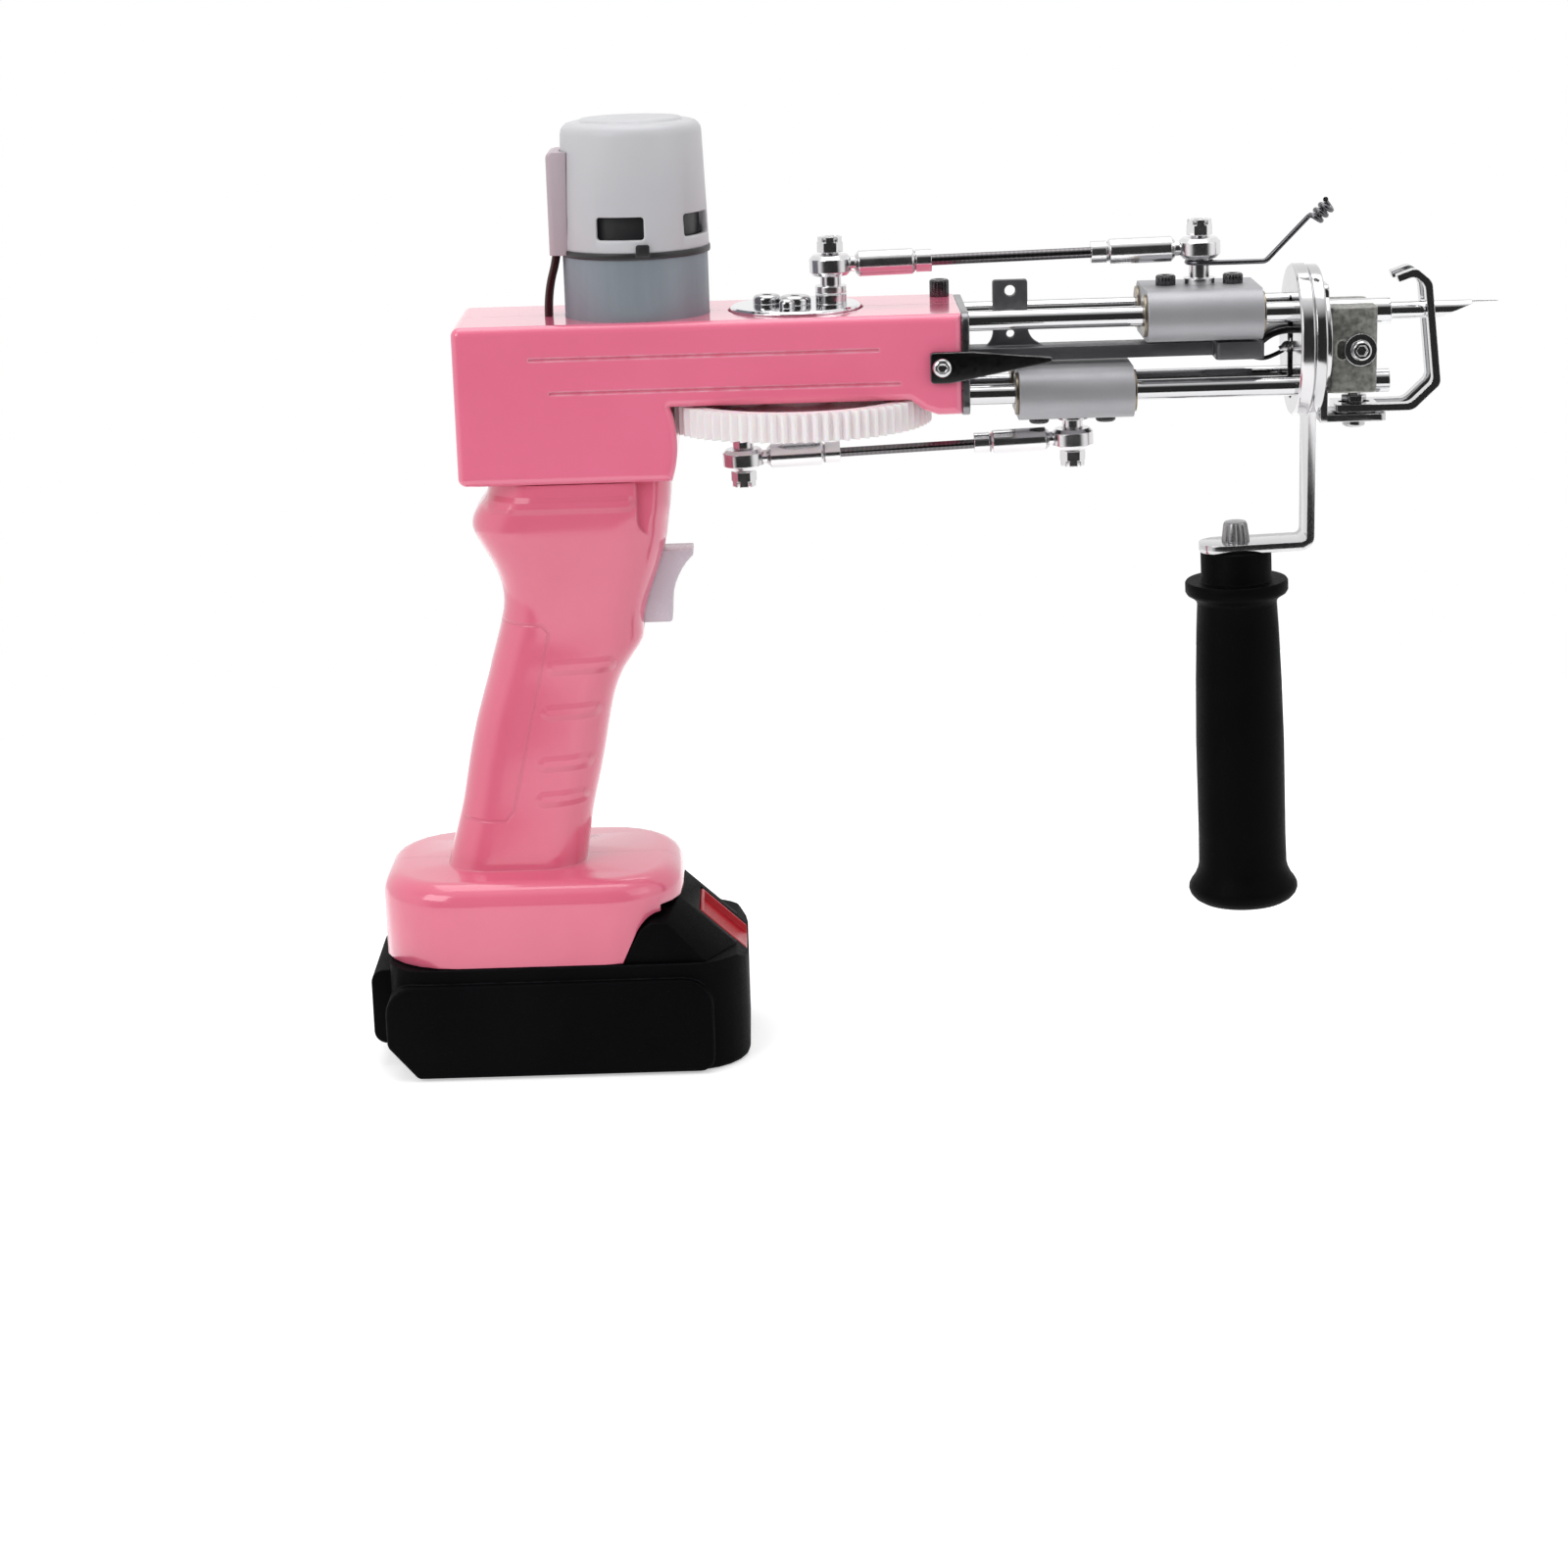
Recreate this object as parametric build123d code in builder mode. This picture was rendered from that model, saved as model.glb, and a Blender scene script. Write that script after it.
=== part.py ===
from build123d import *
from math import acos, atan, cos, pi, radians, sin, sqrt, tan
import os

# Cordless tufting tool. X runs forward along the needle, Z runs up, the near side faces -Y.
# The origin is the centre of the battery's flat base. All lengths in millimetres.

# Main places along the tool
motor_x = 32.5
crank_x = 79.5
box_rear_x = -21.5
box_front_x = 41.7
box_bulge = 1.8
arm_front_x = 127.5
box_bottom_z = 181.0
arm_bottom_z = 203.0
housing_top_z = 228.0
housing_half_width = 25.0
housing_edge_radius = 2.5
lug_rear_x = 120.5
lug_mid_x = 116.5
lug_start_x = 112.0
lug_bottom_z = 198.4
lug_mid_z = 199.8
panel_low_z = 208.2
panel_high_z = 218.2
panel_low_rear_x = 6.6
panel_high_rear_x = 1.0
panel_low_front_x = 109.5
panel_high_front_x = 103.4
panel_groove_width = 0.8
panel_groove_depth = 0.5

# Gear train
gear_module = 1.0
gear_teeth = 78
pinion_teeth = 16
pressure_angle = 20.0
tooth_play = 0.12
gear_bottom_z = 194.0
gear_thickness = 8.4
gear_rim_width = 5.0
gear_web_thickness = 3.4
gear_hub_radius = 10.0
pinion_overhang = 0.8
pinion_hub_radius = 5.0
pinion_hub_height = 3.0
mesh_clearance = 1.2
fit = 0.05
gap = 0.4

# Crank shaft, its two bearings and the disc on the roof
crank_shaft_radius = 4.0
bearing_radius = 11.0
bearing_height = 7.0
bearing_ring_wall = 2.2
bearing_shield_drop = 0.5
scoop_radius = 20.2
scoop_depth = 2.3
disc_radius = 19.4
disc_bottom_z = 226.2
disc_thickness = 3.0
shaft_head_radius = 6.5
shaft_head_height = 1.8
upper_throw = 10.7
lower_throw = 16.9
screw_head_radius = 4.2
screw_head_height = 2.6
screw_hex_radius = 1.7
screw_hex_depth = 1.4
small_screw_radius = 2.3
stud_collar_height = 2.8
stud_collar_drop = 2.1
side_screw_x = -8.4
side_screw_y = 4.0
small_screw_x = -2.6
small_screw_y = -8.6

# Motor with its end bell and clear cap
can_radius = 21.5
can_bottom_z = 209.0
can_top_z = 246.0
can_edge_radius = 1.0
bell_radius = 19.2
bell_wall = 2.0
bell_top_z = 260.0
brush_box_width = 8.0
brush_box_reach = 7.0
brush_box_low_z = 250.0
brush_box_high_z = 257.0
commutator_radius = 5.4
armature_radius = 16.5
armature_low_z = 214.0
armature_high_z = 240.0
motor_shaft_radius = 2.5
motor_shaft_bottom_z = 190.0
motor_shaft_top_z = 262.0
cap_top_z = 284.5
cap_bottom_radius = 22.0
cap_top_radius = 20.8
cap_wall = 1.6
cap_edge_radius = 3.2
cap_ring_radius = 15.0
cap_ring_height = 0.8
window_count = 5
window_width = 15.0
window_height = 7.2
window_middle_z = 255.0
window_first_angle = -104.5
wire_cover_front_x = 12.2
wire_cover_rear_x = 3.0
wire_cover_half_width = 8.0
wire_cover_top_z = 276.5
wire_cover_low_z = 246.6
wire_cover_wall = 1.4
lead_radius = 1.3
lead_spacing = 5.0
lead_top_z = 252.0
lead_bend_radius = 5.0
lead_top_x = 7.0
lead_low_x = 2.0

# Front plate, guide rods and rings
plate_thickness = 2.6
plate_half_width = 23.5
plate_top_z = 232.0
plate_bottom_z = 195.2
plate_corner_radius = 3.0
rod_radius = 3.0
rod_spread = 10.5
upper_rod_z = 224.0
lower_rod_z = 202.0
ring_rear_x = 227.1
ring_thickness = 4.4
clamp_thickness = 3.5
nose_plate_thickness = 2.2
ring_z = 214.2
ring_radius = 22.6
ring_edge = 0.6
hub_radius = 17.0
clamp_radius = 22.2
slot_half_width = 5.2
slot_low_z = 196.6
slot_high_z = 227.4
rod_seat_depth = 3.2

# Two sliders and their linkage
slider_length = 34.0
slider_width = 38.0
slider_height = 15.2
slider_side_radius = 7.2
slider_end_edge = 0.8
needle_slider_x = 199.8
cutter_slider_x = 161.8
bush_wall = 1.6
bush_flange = 0.9
needle_stroke = 21.4
cutter_stroke = 33.8
upper_pin_z = 240.5
upper_front_z = 242.4
lower_pin_z = 183.2
lower_front_z = 186.6
ball_radius = 4.2
eye_radius = 6.25
eye_height = 6.0
eye_edge = 1.1
neck_radius = 2.2
barrel_radius = 3.8
barrel_edge = 1.1
upper_barrel_start = 7.4
upper_barrel_length = 18.0
upper_front_barrel_length = 20.3
lower_barrel_start = 7.2
lower_barrel_length = 17.4
lower_front_barrel_length = 17.9
lock_nut_length = 4.6
lock_nut_radius = 3.3
upper_tie_radius = 1.6
lower_tie_radius = 1.4
stud_radius = 2.0
stud_flange_radius = 4.7
stud_flange_height = 2.0
stud_collar_radius = 3.1
nut_across = 6.6
nut_height = 4.6
nut_castle_depth = 1.6
nut_slot_width = 1.1
slider_screw_reach = 10.0
slider_screw_y = 11.0
slider_screw_radius = 3.0
slider_screw_height = 3.0

# Needle, cutter rod, nose and foot
needle_z = 222.0
needle_radius = 2.6
needle_bore = 1.7
needle_cut_start_x = 270.6
needle_cut_end_x = 281.0
needle_tip_x = 289.0
needle_tip_rise = 1.7
needle_tip_radius = 0.45
needle_rear_x = 206.0
cutter_rod_radius = 2.3
cutter_rod_rear_x = 166.0
cutter_rod_front_x = 250.0
cutter_rod_z = 201.2
cutter_blade_length = 10.0
cutter_blade_thickness = 1.2
nose_front_x = 251.2
nose_low_z = 199.6
nose_high_z = 224.9
nose_half_width = 12.6
nose_edge = 2.0
nose_slot_x = 240.8
nose_slot_width = 3.4
nose_slot_height = 5.6
nose_slot_depth = 3.0
nose_screw_x = 246.0
nose_screw_z = 212.4
nose_washer_radius = 4.8
nose_washer_height = 0.9
nose_bolt_radius = 2.9
nose_bolt_height = 2.4
nose_bush_radius = 3.9
nose_bush_front_x = 256.6
lower_bush_radius = 3.5
nose_shelf_z = 188.2
nose_shelf_front_x = 255.0
nose_shelf_half_width = 8.0
nose_plate_top_z = 231.0
nose_plate_half_width = 15.5
foot_bar_width = 3.6
foot_bar_thickness = 2.2
foot_spread = 6.6
foot_rear_x = 240.0
foot_low_z = 192.0
foot_heel_x = 264.0
foot_toe_x = 271.6
foot_toe_z = 200.0
foot_top_x = 268.6
foot_top_z = 230.6
foot_curl_x = 264.6
foot_curl_z = 234.0
foot_tip_x = 259.4
foot_tip_z = 232.2
foot_screw_x = 246.4
foot_screw_radius = 3.4
foot_slot_length = 9.6

# Yarn guide spring wire
guide_wire_radius = 0.5
guide_loop_start = -380.0
guide_loop_angle = 290.0
guide_start_z = 238.2
guide_bend_x = 219.0
guide_bend_radius = 2.5
guide_top_x = 231.2
guide_top_z = 250.6
guide_turn_radius = 1.2
guide_eye_radius = 1.7
guide_eye_turns = 3
guide_eye_pitch = 2.1

# Wedge plate, upright tab and the cutter track between the rods
wedge_rear_x = 117.6
wedge_low_z = 207.6
wedge_high_z = 215.6
wedge_body_front_x = 134.0
wedge_tip_x = 155.0
wedge_tip_z = 212.8
wedge_tip_radius = 1.1
wedge_thickness = 2.0
wedge_screw_x = 122.4
wedge_screw_z = 211.6
wedge_screw_radius = 2.9
tab_rear_x = 138.2
tab_front_x = 148.6
tab_top_z = 234.6
tab_thickness = 2.4
tab_hole_radius = 1.6
tab_hole_drop = 3.2
tab_corner_radius = 2.5
track_low_z = 210.9
track_high_z = 214.9
track_half_width = 5.0
track_front_x = 183.0

# Side handle
bar_thickness = 3.2
bar_half_width = 11.0
bar_bend_radius = 4.0
handle_x = 211.2
bar_rear_x = 200.0
bar_low_z = 150.2
handle_scale_top_z = 150.2
handle_bottom_z = 36.2
handle_neck_radius = 10.7
handle_neck_low_z = 143.2
flange_radius = 15.3
flange_low_z = 139.0
grip_top_radius = 11.6
grip_mid_radius = 13.1
grip_low_radius = 13.9
flare_radius = 16.9
flare_z = 43.0
handle_bolt_radius = 3.0
handle_nut_radius = 5.4
handle_nut_top_radius = 4.4
handle_nut_height = 7.0
handle_nut_groove_count = 12
handle_nut_groove_radius = 0.9

# Grip and foot moulding
collar_top_z = 181.0
grip_height_list = (180.8, 175.8, 169.0, 163.0, 156.9, 149.5, 141.3, 133.4, 125.0, 115.6, 103.0, 87.9, 75.0, 60.0)
grip_rear_list = (-14.0, -13.4, -19.1, -16.6, -13.4, -10.9, -11.3, -13.0, -15.7, -18.6, -21.9, -24.9, -28.0, -31.0)
grip_front_list = (41.0, 40.8, 39.8, 38.8, 37.7, 35.2, 32.6, 31.6, 29.0, 22.4, 19.3, 15.8, 12.8, 11.2)
grip_half_list = (23.0, 22.6, 22.6, 21.4, 20.0, 18.6, 17.6, 17.2, 17.0, 16.8, 16.8, 17.0, 17.4, 18.0)
grip_corner_share = 0.72
foot_rear_end_x = -52.2
foot_front_x = 40.0
foot_top_z_outer = 61.0
foot_bottom_z = 35.3
foot_half_width = 34.5
foot_rear_corner = 24.0
foot_front_corner = 14.0
foot_top_edge = 8.0
foot_cut_low_x = 21.2
foot_cut_mid_x = 27.0
foot_cut_mid_z = 47.6
foot_cut_high_x = 31.5
foot_cut_high_z = 51.0
foot_cut_front_x = 37.0
foot_cut_front_z = 53.0
foot_lip_z = 57.0
channel_half_width = 26.5
channel_top_z = 51.6
channel_rear_x = -44.0
channel_rail = 3.0
channel_rail_low_z = 37.2
channel_rail_high_z = 40.4
pocket_x = 35.6
pocket_radius = 5.0
pocket_middle_z = 169.0
pocket_depth = 4.0
rib_count = 4
rib_rear_list = (2.0, 0.0, -1.5, -2.5)
rib_front_list = (22.0, 16.0, 12.0, 9.5)
rib_z_list = (121.0, 107.0, 92.0, 79.0)
rib_height = 1.6
rib_proud = 0.7
panel_line_radius = 0.7

# Trigger, switch and spring
trigger_half_width = 7.0
trigger_low_z = 131.9
trigger_high_z = 157.2
trigger_rear_x = 27.5
trigger_tip_x = 46.6
trigger_throat_x = 40.6
trigger_low_front_x = 39.6
trigger_travel = 5.5
trigger_edge = 0.5
trigger_gap = 0.5
switch_rear_x = -6.0
switch_front_x = 14.0
switch_half_width = 9.0
switch_low_z = 131.0
switch_high_z = 156.0
plunger_radius = 2.2
spring_radius = 3.8
spring_wire = 0.6
spring_turns = 6.0

# Battery pack
case_rear_x = -50.5
case_front_x = 60.4
case_half_width = 34.0
case_top_z = 34.9
case_corner = 12.0
case_front_corner = 18.0
case_low_chamfer = 9.0
side_panel_rear_x = -47.5
side_panel_front_x = 48.5
side_panel_low_z = 0.0
side_panel_high_z = 30.4
side_panel_proud = 2.4
side_panel_corner = 8.0
clip_rear_x = -58.4
clip_half_width = 20.0
clip_low_z = 1.4
clip_high_z = 26.4
shoulder_half_width = 32.5
ridge_half_width = 21.0
slope_top_x = 38.6
slope_top_z = 52.0
slope_front_x = 58.6
slope_front_z = 35.8
tower_half_width = 26.0
tower_top_z = 51.0
tower_rear_x = -42.0
tower_front_x = 21.6
tower_groove_depth = 3.4
tower_groove_low_z = 36.9
tower_groove_high_z = 40.8
button_half_width = 10.5
button_low_share = 0.30
button_high_share = 0.94
button_depth = 3.0
button_travel = 2.0
cell_radius = 9.0
cell_count = 5
cell_length = 58.0
cell_z = 16.0
contact_count = 4
contact_thickness = 1.0
contact_height = 7.0
contact_length = 14.0
contact_pitch = 9.0
contact_front_x = -30.0

housing_screw_radius = 2.8
housing_screw_depth = 1.6

os.makedirs("parts", exist_ok=True)


def save(builder, name):
    builder.part.label = name
    export_step(builder.part, f"parts/{name}.step")


# Tooth outline of a spur gear, drawn tooth by tooth with involute flanks
def tooth_outline(teeth):
    pitch_radius = gear_module * teeth / 2
    base_radius = pitch_radius * cos(radians(pressure_angle))
    tip_radius = pitch_radius + gear_module
    root_radius = pitch_radius - mesh_clearance * gear_module
    roll = tan(radians(pressure_angle)) - radians(pressure_angle)
    half_tooth = pi / (2 * teeth) - tooth_play / (2 * pitch_radius) + roll
    flank_start = max(base_radius, root_radius)
    steps = 4
    outline = []
    for tooth in range(teeth):
        middle = 2 * pi * tooth / teeth
        left_flank = []
        right_flank = []
        for step in range(steps):
            radius = flank_start + (tip_radius - flank_start) * step / (steps - 1)
            turn = acos(min(1.0, base_radius / radius))
            half_angle = half_tooth - (tan(turn) - turn)
            left_flank.append((radius * cos(middle - half_angle), radius * sin(middle - half_angle)))
            right_flank.append((radius * cos(middle + half_angle), radius * sin(middle + half_angle)))
        foot_angle = half_tooth + (0.0 if root_radius > base_radius else 0.01)
        outline.append((root_radius * cos(middle - foot_angle), root_radius * sin(middle - foot_angle)))
        outline.extend(left_flank)
        outline.extend(reversed(right_flank))
        outline.append((root_radius * cos(middle + foot_angle), root_radius * sin(middle + foot_angle)))
    return outline


gear_middle_z = gear_bottom_z + gear_thickness / 2
gear_top_z = gear_bottom_z + gear_thickness
gear_tip_radius = gear_module * (gear_teeth / 2 + 1)
pinion_tip_radius = gear_module * (pinion_teeth / 2 + 1)
disc_top_z = disc_bottom_z + disc_thickness
plate_front_x = arm_front_x + plate_thickness
ring_front_x = ring_rear_x + ring_thickness
clamp_rear_x = ring_front_x + fit
clamp_front_x = clamp_rear_x + clamp_thickness
hub_front_x = clamp_front_x + fit
nose_rear_x = hub_front_x + nose_plate_thickness
lower_bearing_z = arm_bottom_z + gap
upper_bearing_z = housing_top_z - scoop_depth - bearing_height
bearing_mid_radius = (crank_shaft_radius + bearing_radius) / 2

# Gear housing: a box for the motor with an arm reaching forward, split along the middle
with BuildPart() as housing_near:
    with BuildSketch(Plane.XZ):
        with BuildLine():
            Polyline(
                (box_front_x, box_bottom_z),
                (box_rear_x, box_bottom_z),
                (box_rear_x, housing_top_z),
                (arm_front_x, housing_top_z),
                (arm_front_x, lug_bottom_z),
                (lug_rear_x, lug_bottom_z),
                (lug_mid_x, lug_mid_z),
                (lug_start_x, arm_bottom_z),
                (box_front_x, arm_bottom_z),
            )
            ThreePointArc(
                (box_front_x, arm_bottom_z),
                (box_front_x + box_bulge, (arm_bottom_z + box_bottom_z) / 2),
                (box_front_x, box_bottom_z),
            )
        make_face()
    extrude(amount=housing_half_width)
    side_face = housing_near.faces().filter_by(Axis.Y).sort_by(Axis.Y)[0]
    rear_edges = housing_near.edges().filter_by(Axis.Y).group_by(Axis.X)[0]
    fillet(side_face.edges() + rear_edges, housing_edge_radius)
    # motor bore and the chamber below it for the pinion
    with Locations((motor_x, 0, can_bottom_z)):
        Cylinder(can_radius + fit, cap_top_z, align=(Align.CENTER, Align.CENTER, Align.MIN), mode=Mode.SUBTRACT)
    with Locations((motor_x, 0, gear_bottom_z - gap)):
        Cylinder(
            pinion_tip_radius + mesh_clearance,
            can_bottom_z - gear_bottom_z + gap,
            align=(Align.CENTER, Align.CENTER, Align.MIN),
            mode=Mode.SUBTRACT,
        )
    with Locations((motor_x, 0, motor_shaft_bottom_z - gap)):
        Cylinder(
            motor_shaft_radius + fit,
            can_bottom_z - motor_shaft_bottom_z,
            align=(Align.CENTER, Align.CENTER, Align.MIN),
            mode=Mode.SUBTRACT,
        )
    # the drive gear runs through a slot in the front of the box
    with Locations((crank_x, 0, gear_bottom_z - gap)):
        Cylinder(
            gear_tip_radius + mesh_clearance,
            arm_bottom_z - gear_bottom_z + gap,
            align=(Align.CENTER, Align.CENTER, Align.MIN),
            mode=Mode.SUBTRACT,
        )
    # bearing seats, shaft bore and the scoop in the roof
    with Locations((crank_x, 0, lower_bearing_z)):
        Cylinder(bearing_radius, bearing_height, align=(Align.CENTER, Align.CENTER, Align.MIN), mode=Mode.SUBTRACT)
    with Locations((crank_x, 0, upper_bearing_z)):
        Cylinder(bearing_radius, bearing_height, align=(Align.CENTER, Align.CENTER, Align.MIN), mode=Mode.SUBTRACT)
    with Locations((crank_x, 0, arm_bottom_z)):
        Cylinder(
            bearing_mid_radius,
            housing_top_z - arm_bottom_z,
            align=(Align.CENTER, Align.CENTER, Align.MIN),
            mode=Mode.SUBTRACT,
        )
    with Locations((crank_x, 0, housing_top_z - scoop_depth)):
        Cylinder(scoop_radius, housing_top_z, align=(Align.CENTER, Align.CENTER, Align.MIN), mode=Mode.SUBTRACT)
    # two shallow lines frame the long side panel
    with BuildSketch(Plane.XZ.offset(housing_half_width - panel_groove_depth)):
        with Locations(((panel_low_rear_x + panel_low_front_x) / 2, panel_low_z)):
            Rectangle(panel_low_front_x - panel_low_rear_x, panel_groove_width)
        with Locations(((panel_high_rear_x + panel_high_front_x) / 2, panel_high_z)):
            Rectangle(panel_high_front_x - panel_high_rear_x, panel_groove_width)
    extrude(amount=housing_edge_radius, mode=Mode.SUBTRACT)
save(housing_near, "housing_near")

with BuildPart() as housing_far:
    mirror(housing_near.part, about=Plane.XZ)
save(housing_far, "housing_far")


# Width of the grip at one height, read between the heights of the table
def grip_section(height):
    for index in range(len(grip_height_list) - 1):
        high = grip_height_list[index]
        low = grip_height_list[index + 1]
        if low <= height <= high:
            share = (height - low) / (high - low)
            rear = grip_rear_list[index + 1] + share * (grip_rear_list[index] - grip_rear_list[index + 1])
            front = grip_front_list[index + 1] + share * (grip_front_list[index] - grip_front_list[index + 1])
            half = grip_half_list[index + 1] + share * (grip_half_list[index] - grip_half_list[index + 1])
            return rear, front, half
    return grip_rear_list[0], grip_front_list[0], grip_half_list[0]


# Grip and foot moulding: a rounded foot that holds the battery, with the lofted grip on top
with BuildPart() as grip_body:
    with BuildSketch(Plane.XY.offset(foot_bottom_z)) as foot_outline:
        with BuildLine():
            Polyline(
                (foot_rear_end_x, -foot_half_width),
                (foot_front_x, -foot_half_width),
                (foot_front_x, foot_half_width),
                (foot_rear_end_x, foot_half_width),
                close=True,
            )
        make_face()
        fillet(foot_outline.vertices().group_by(Axis.X)[0], foot_rear_corner)
        fillet(foot_outline.vertices().group_by(Axis.X)[-1], foot_front_corner)
    extrude(amount=foot_top_z_outer - foot_bottom_z)
    fillet(grip_body.faces().sort_by(Axis.Z)[-1].edges(), foot_top_edge)
    with BuildSketch(Plane.XZ):
        with BuildLine():
            Polyline(
                (foot_cut_low_x, foot_bottom_z),
                (foot_cut_mid_x, foot_cut_mid_z),
                (foot_cut_high_x, foot_cut_high_z),
                (foot_cut_front_x, foot_cut_front_z),
                (foot_front_x, foot_lip_z),
                (foot_front_x + foot_front_corner, foot_lip_z),
                (foot_front_x + foot_front_corner, foot_bottom_z),
                close=True,
            )
        make_face()
    extrude(amount=foot_half_width, both=True, mode=Mode.SUBTRACT)
    for low, high, half in (
        (foot_bottom_z, channel_rail_low_z, channel_half_width),
        (channel_rail_low_z, channel_rail_high_z, channel_half_width - channel_rail),
        (channel_rail_high_z, channel_top_z, channel_half_width),
    ):
        with BuildSketch(Plane.XY.offset(low)):
            with Locations(((channel_rear_x + foot_front_x + foot_front_corner) / 2, 0)):
                Rectangle(foot_front_x + foot_front_corner - channel_rear_x, 2 * half)
        extrude(amount=high - low, mode=Mode.SUBTRACT)
    for height, rear, front, half in zip(grip_height_list, grip_rear_list, grip_front_list, grip_half_list):
        with BuildSketch(Plane.XY.offset(height)):
            with Locations(((rear + front) / 2, 0)):
                RectangleRounded(front - rear, 2 * half, half * grip_corner_share)
    loft()
    # finger ribs
    for height, rib_rear, rib_front in zip(rib_z_list, rib_rear_list, rib_front_list):
        rear, front, half = grip_section(height)
        with BuildSketch(Plane.XY.offset(height - rib_height / 2)):
            with Locations(((rear + front) / 2, 0)):
                RectangleRounded(
                    front - rear + 2 * rib_proud,
                    2 * (half + rib_proud),
                    half * grip_corner_share + rib_proud,
                )
            with Locations(((rib_rear + rib_front) / 2, 0)):
                Rectangle(rib_front - rib_rear, 2 * (half + 2 * rib_proud), mode=Mode.INTERSECT)
        extrude(amount=rib_height)
    # trigger slot, switch cavity and spring bore
    with Locations((trigger_rear_x - trigger_travel - trigger_gap, 0, (trigger_low_z + trigger_high_z) / 2)):
        Box(
            trigger_tip_x,
            2 * (trigger_half_width + trigger_gap),
            trigger_high_z - trigger_low_z + 2 * trigger_gap,
            align=(Align.MIN, Align.CENTER, Align.CENTER),
            mode=Mode.SUBTRACT,
        )
    with Locations((switch_rear_x, 0, (switch_low_z + switch_high_z) / 2)):
        Box(
            switch_front_x - switch_rear_x,
            2 * switch_half_width,
            switch_high_z - switch_low_z,
            align=(Align.MIN, Align.CENTER, Align.CENTER),
            mode=Mode.SUBTRACT,
        )
    with Locations(Location((switch_front_x - gap, 0, (switch_low_z + switch_high_z) / 2), (0, 90, 0))):
        Cylinder(
            spring_radius + spring_wire + gap,
            trigger_rear_x - switch_front_x,
            align=(Align.CENTER, Align.CENTER, Align.MIN),
            mode=Mode.SUBTRACT,
        )
    # rounded pockets at the top front, open towards the needle
    for side in (1, -1):
        with BuildSketch(Plane.XZ.offset(side * (grip_half_list[2] - pocket_depth))):
            with Locations((pocket_x, pocket_middle_z)):
                Circle(pocket_radius)
            with Locations((pocket_x - pocket_radius, pocket_middle_z)):
                Rectangle(
                    grip_front_list[0],
                    grip_height_list[0] - pocket_middle_z,
                    align=(Align.MIN, Align.MIN),
                )
        extrude(amount=side * 2 * pocket_depth, mode=Mode.SUBTRACT)

for keep_side, name in ((Keep.TOP, "grip_near"), (Keep.BOTTOM, "grip_far")):
    with BuildPart() as grip_half:
        add(grip_body.part)
        split(bisect_by=Plane.XZ, keep=keep_side)
    save(grip_half, name)

# Steel front plate
with BuildPart() as front_plate:
    with BuildSketch(Plane.YZ.offset(arm_front_x)):
        with Locations((0, (plate_top_z + plate_bottom_z) / 2)):
            RectangleRounded(2 * plate_half_width, plate_top_z - plate_bottom_z, plate_corner_radius)
        with Locations(
            (rod_spread, upper_rod_z), (-rod_spread, upper_rod_z), (rod_spread, lower_rod_z), (-rod_spread, lower_rod_z)
        ):
            Circle(rod_radius + fit, mode=Mode.SUBTRACT)
    extrude(amount=plate_thickness)
save(front_plate, "front_plate")

# Four polished guide rods, an upper and a lower pair
rod_length = ring_rear_x + rod_seat_depth - arm_front_x
with BuildPart() as guide_rods:
    for height in (upper_rod_z, lower_rod_z):
        with Locations((arm_front_x, rod_spread, height), (arm_front_x, -rod_spread, height)):
            Cylinder(rod_radius, rod_length, rotation=(0, 90, 0), align=(Align.CENTER, Align.CENTER, Align.MIN))
save(guide_rods, "guide_rods")

# Rear ring that carries the rods, with the hub that the side handle clamps on
with BuildPart() as ring_rear:
    with BuildSketch(Plane.YZ.offset(ring_rear_x)):
        with Locations((0, ring_z)):
            Circle(ring_radius)
    extrude(amount=ring_thickness)
    chamfer(ring_rear.edges().filter_by(GeomType.CIRCLE), ring_edge)
    with BuildSketch(Plane.YZ.offset(ring_front_x)):
        with Locations((0, ring_z)):
            Circle(hub_radius)
    extrude(amount=hub_front_x - ring_front_x)
    with BuildSketch(Plane.YZ.offset(ring_rear_x)):
        with Locations((0, (slot_low_z + slot_high_z) / 2)):
            SlotOverall(slot_high_z - slot_low_z, 2 * slot_half_width, rotation=90)
    extrude(amount=hub_front_x - ring_rear_x, mode=Mode.SUBTRACT)
    with Locations(
        (ring_rear_x, rod_spread, upper_rod_z),
        (ring_rear_x, -rod_spread, upper_rod_z),
        (ring_rear_x, rod_spread, lower_rod_z),
        (ring_rear_x, -rod_spread, lower_rod_z),
    ):
        Cylinder(
            rod_radius + fit,
            rod_seat_depth,
            rotation=(0, 90, 0),
            align=(Align.CENTER, Align.CENTER, Align.MIN),
            mode=Mode.SUBTRACT,
        )
save(ring_rear, "ring_rear")

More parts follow.
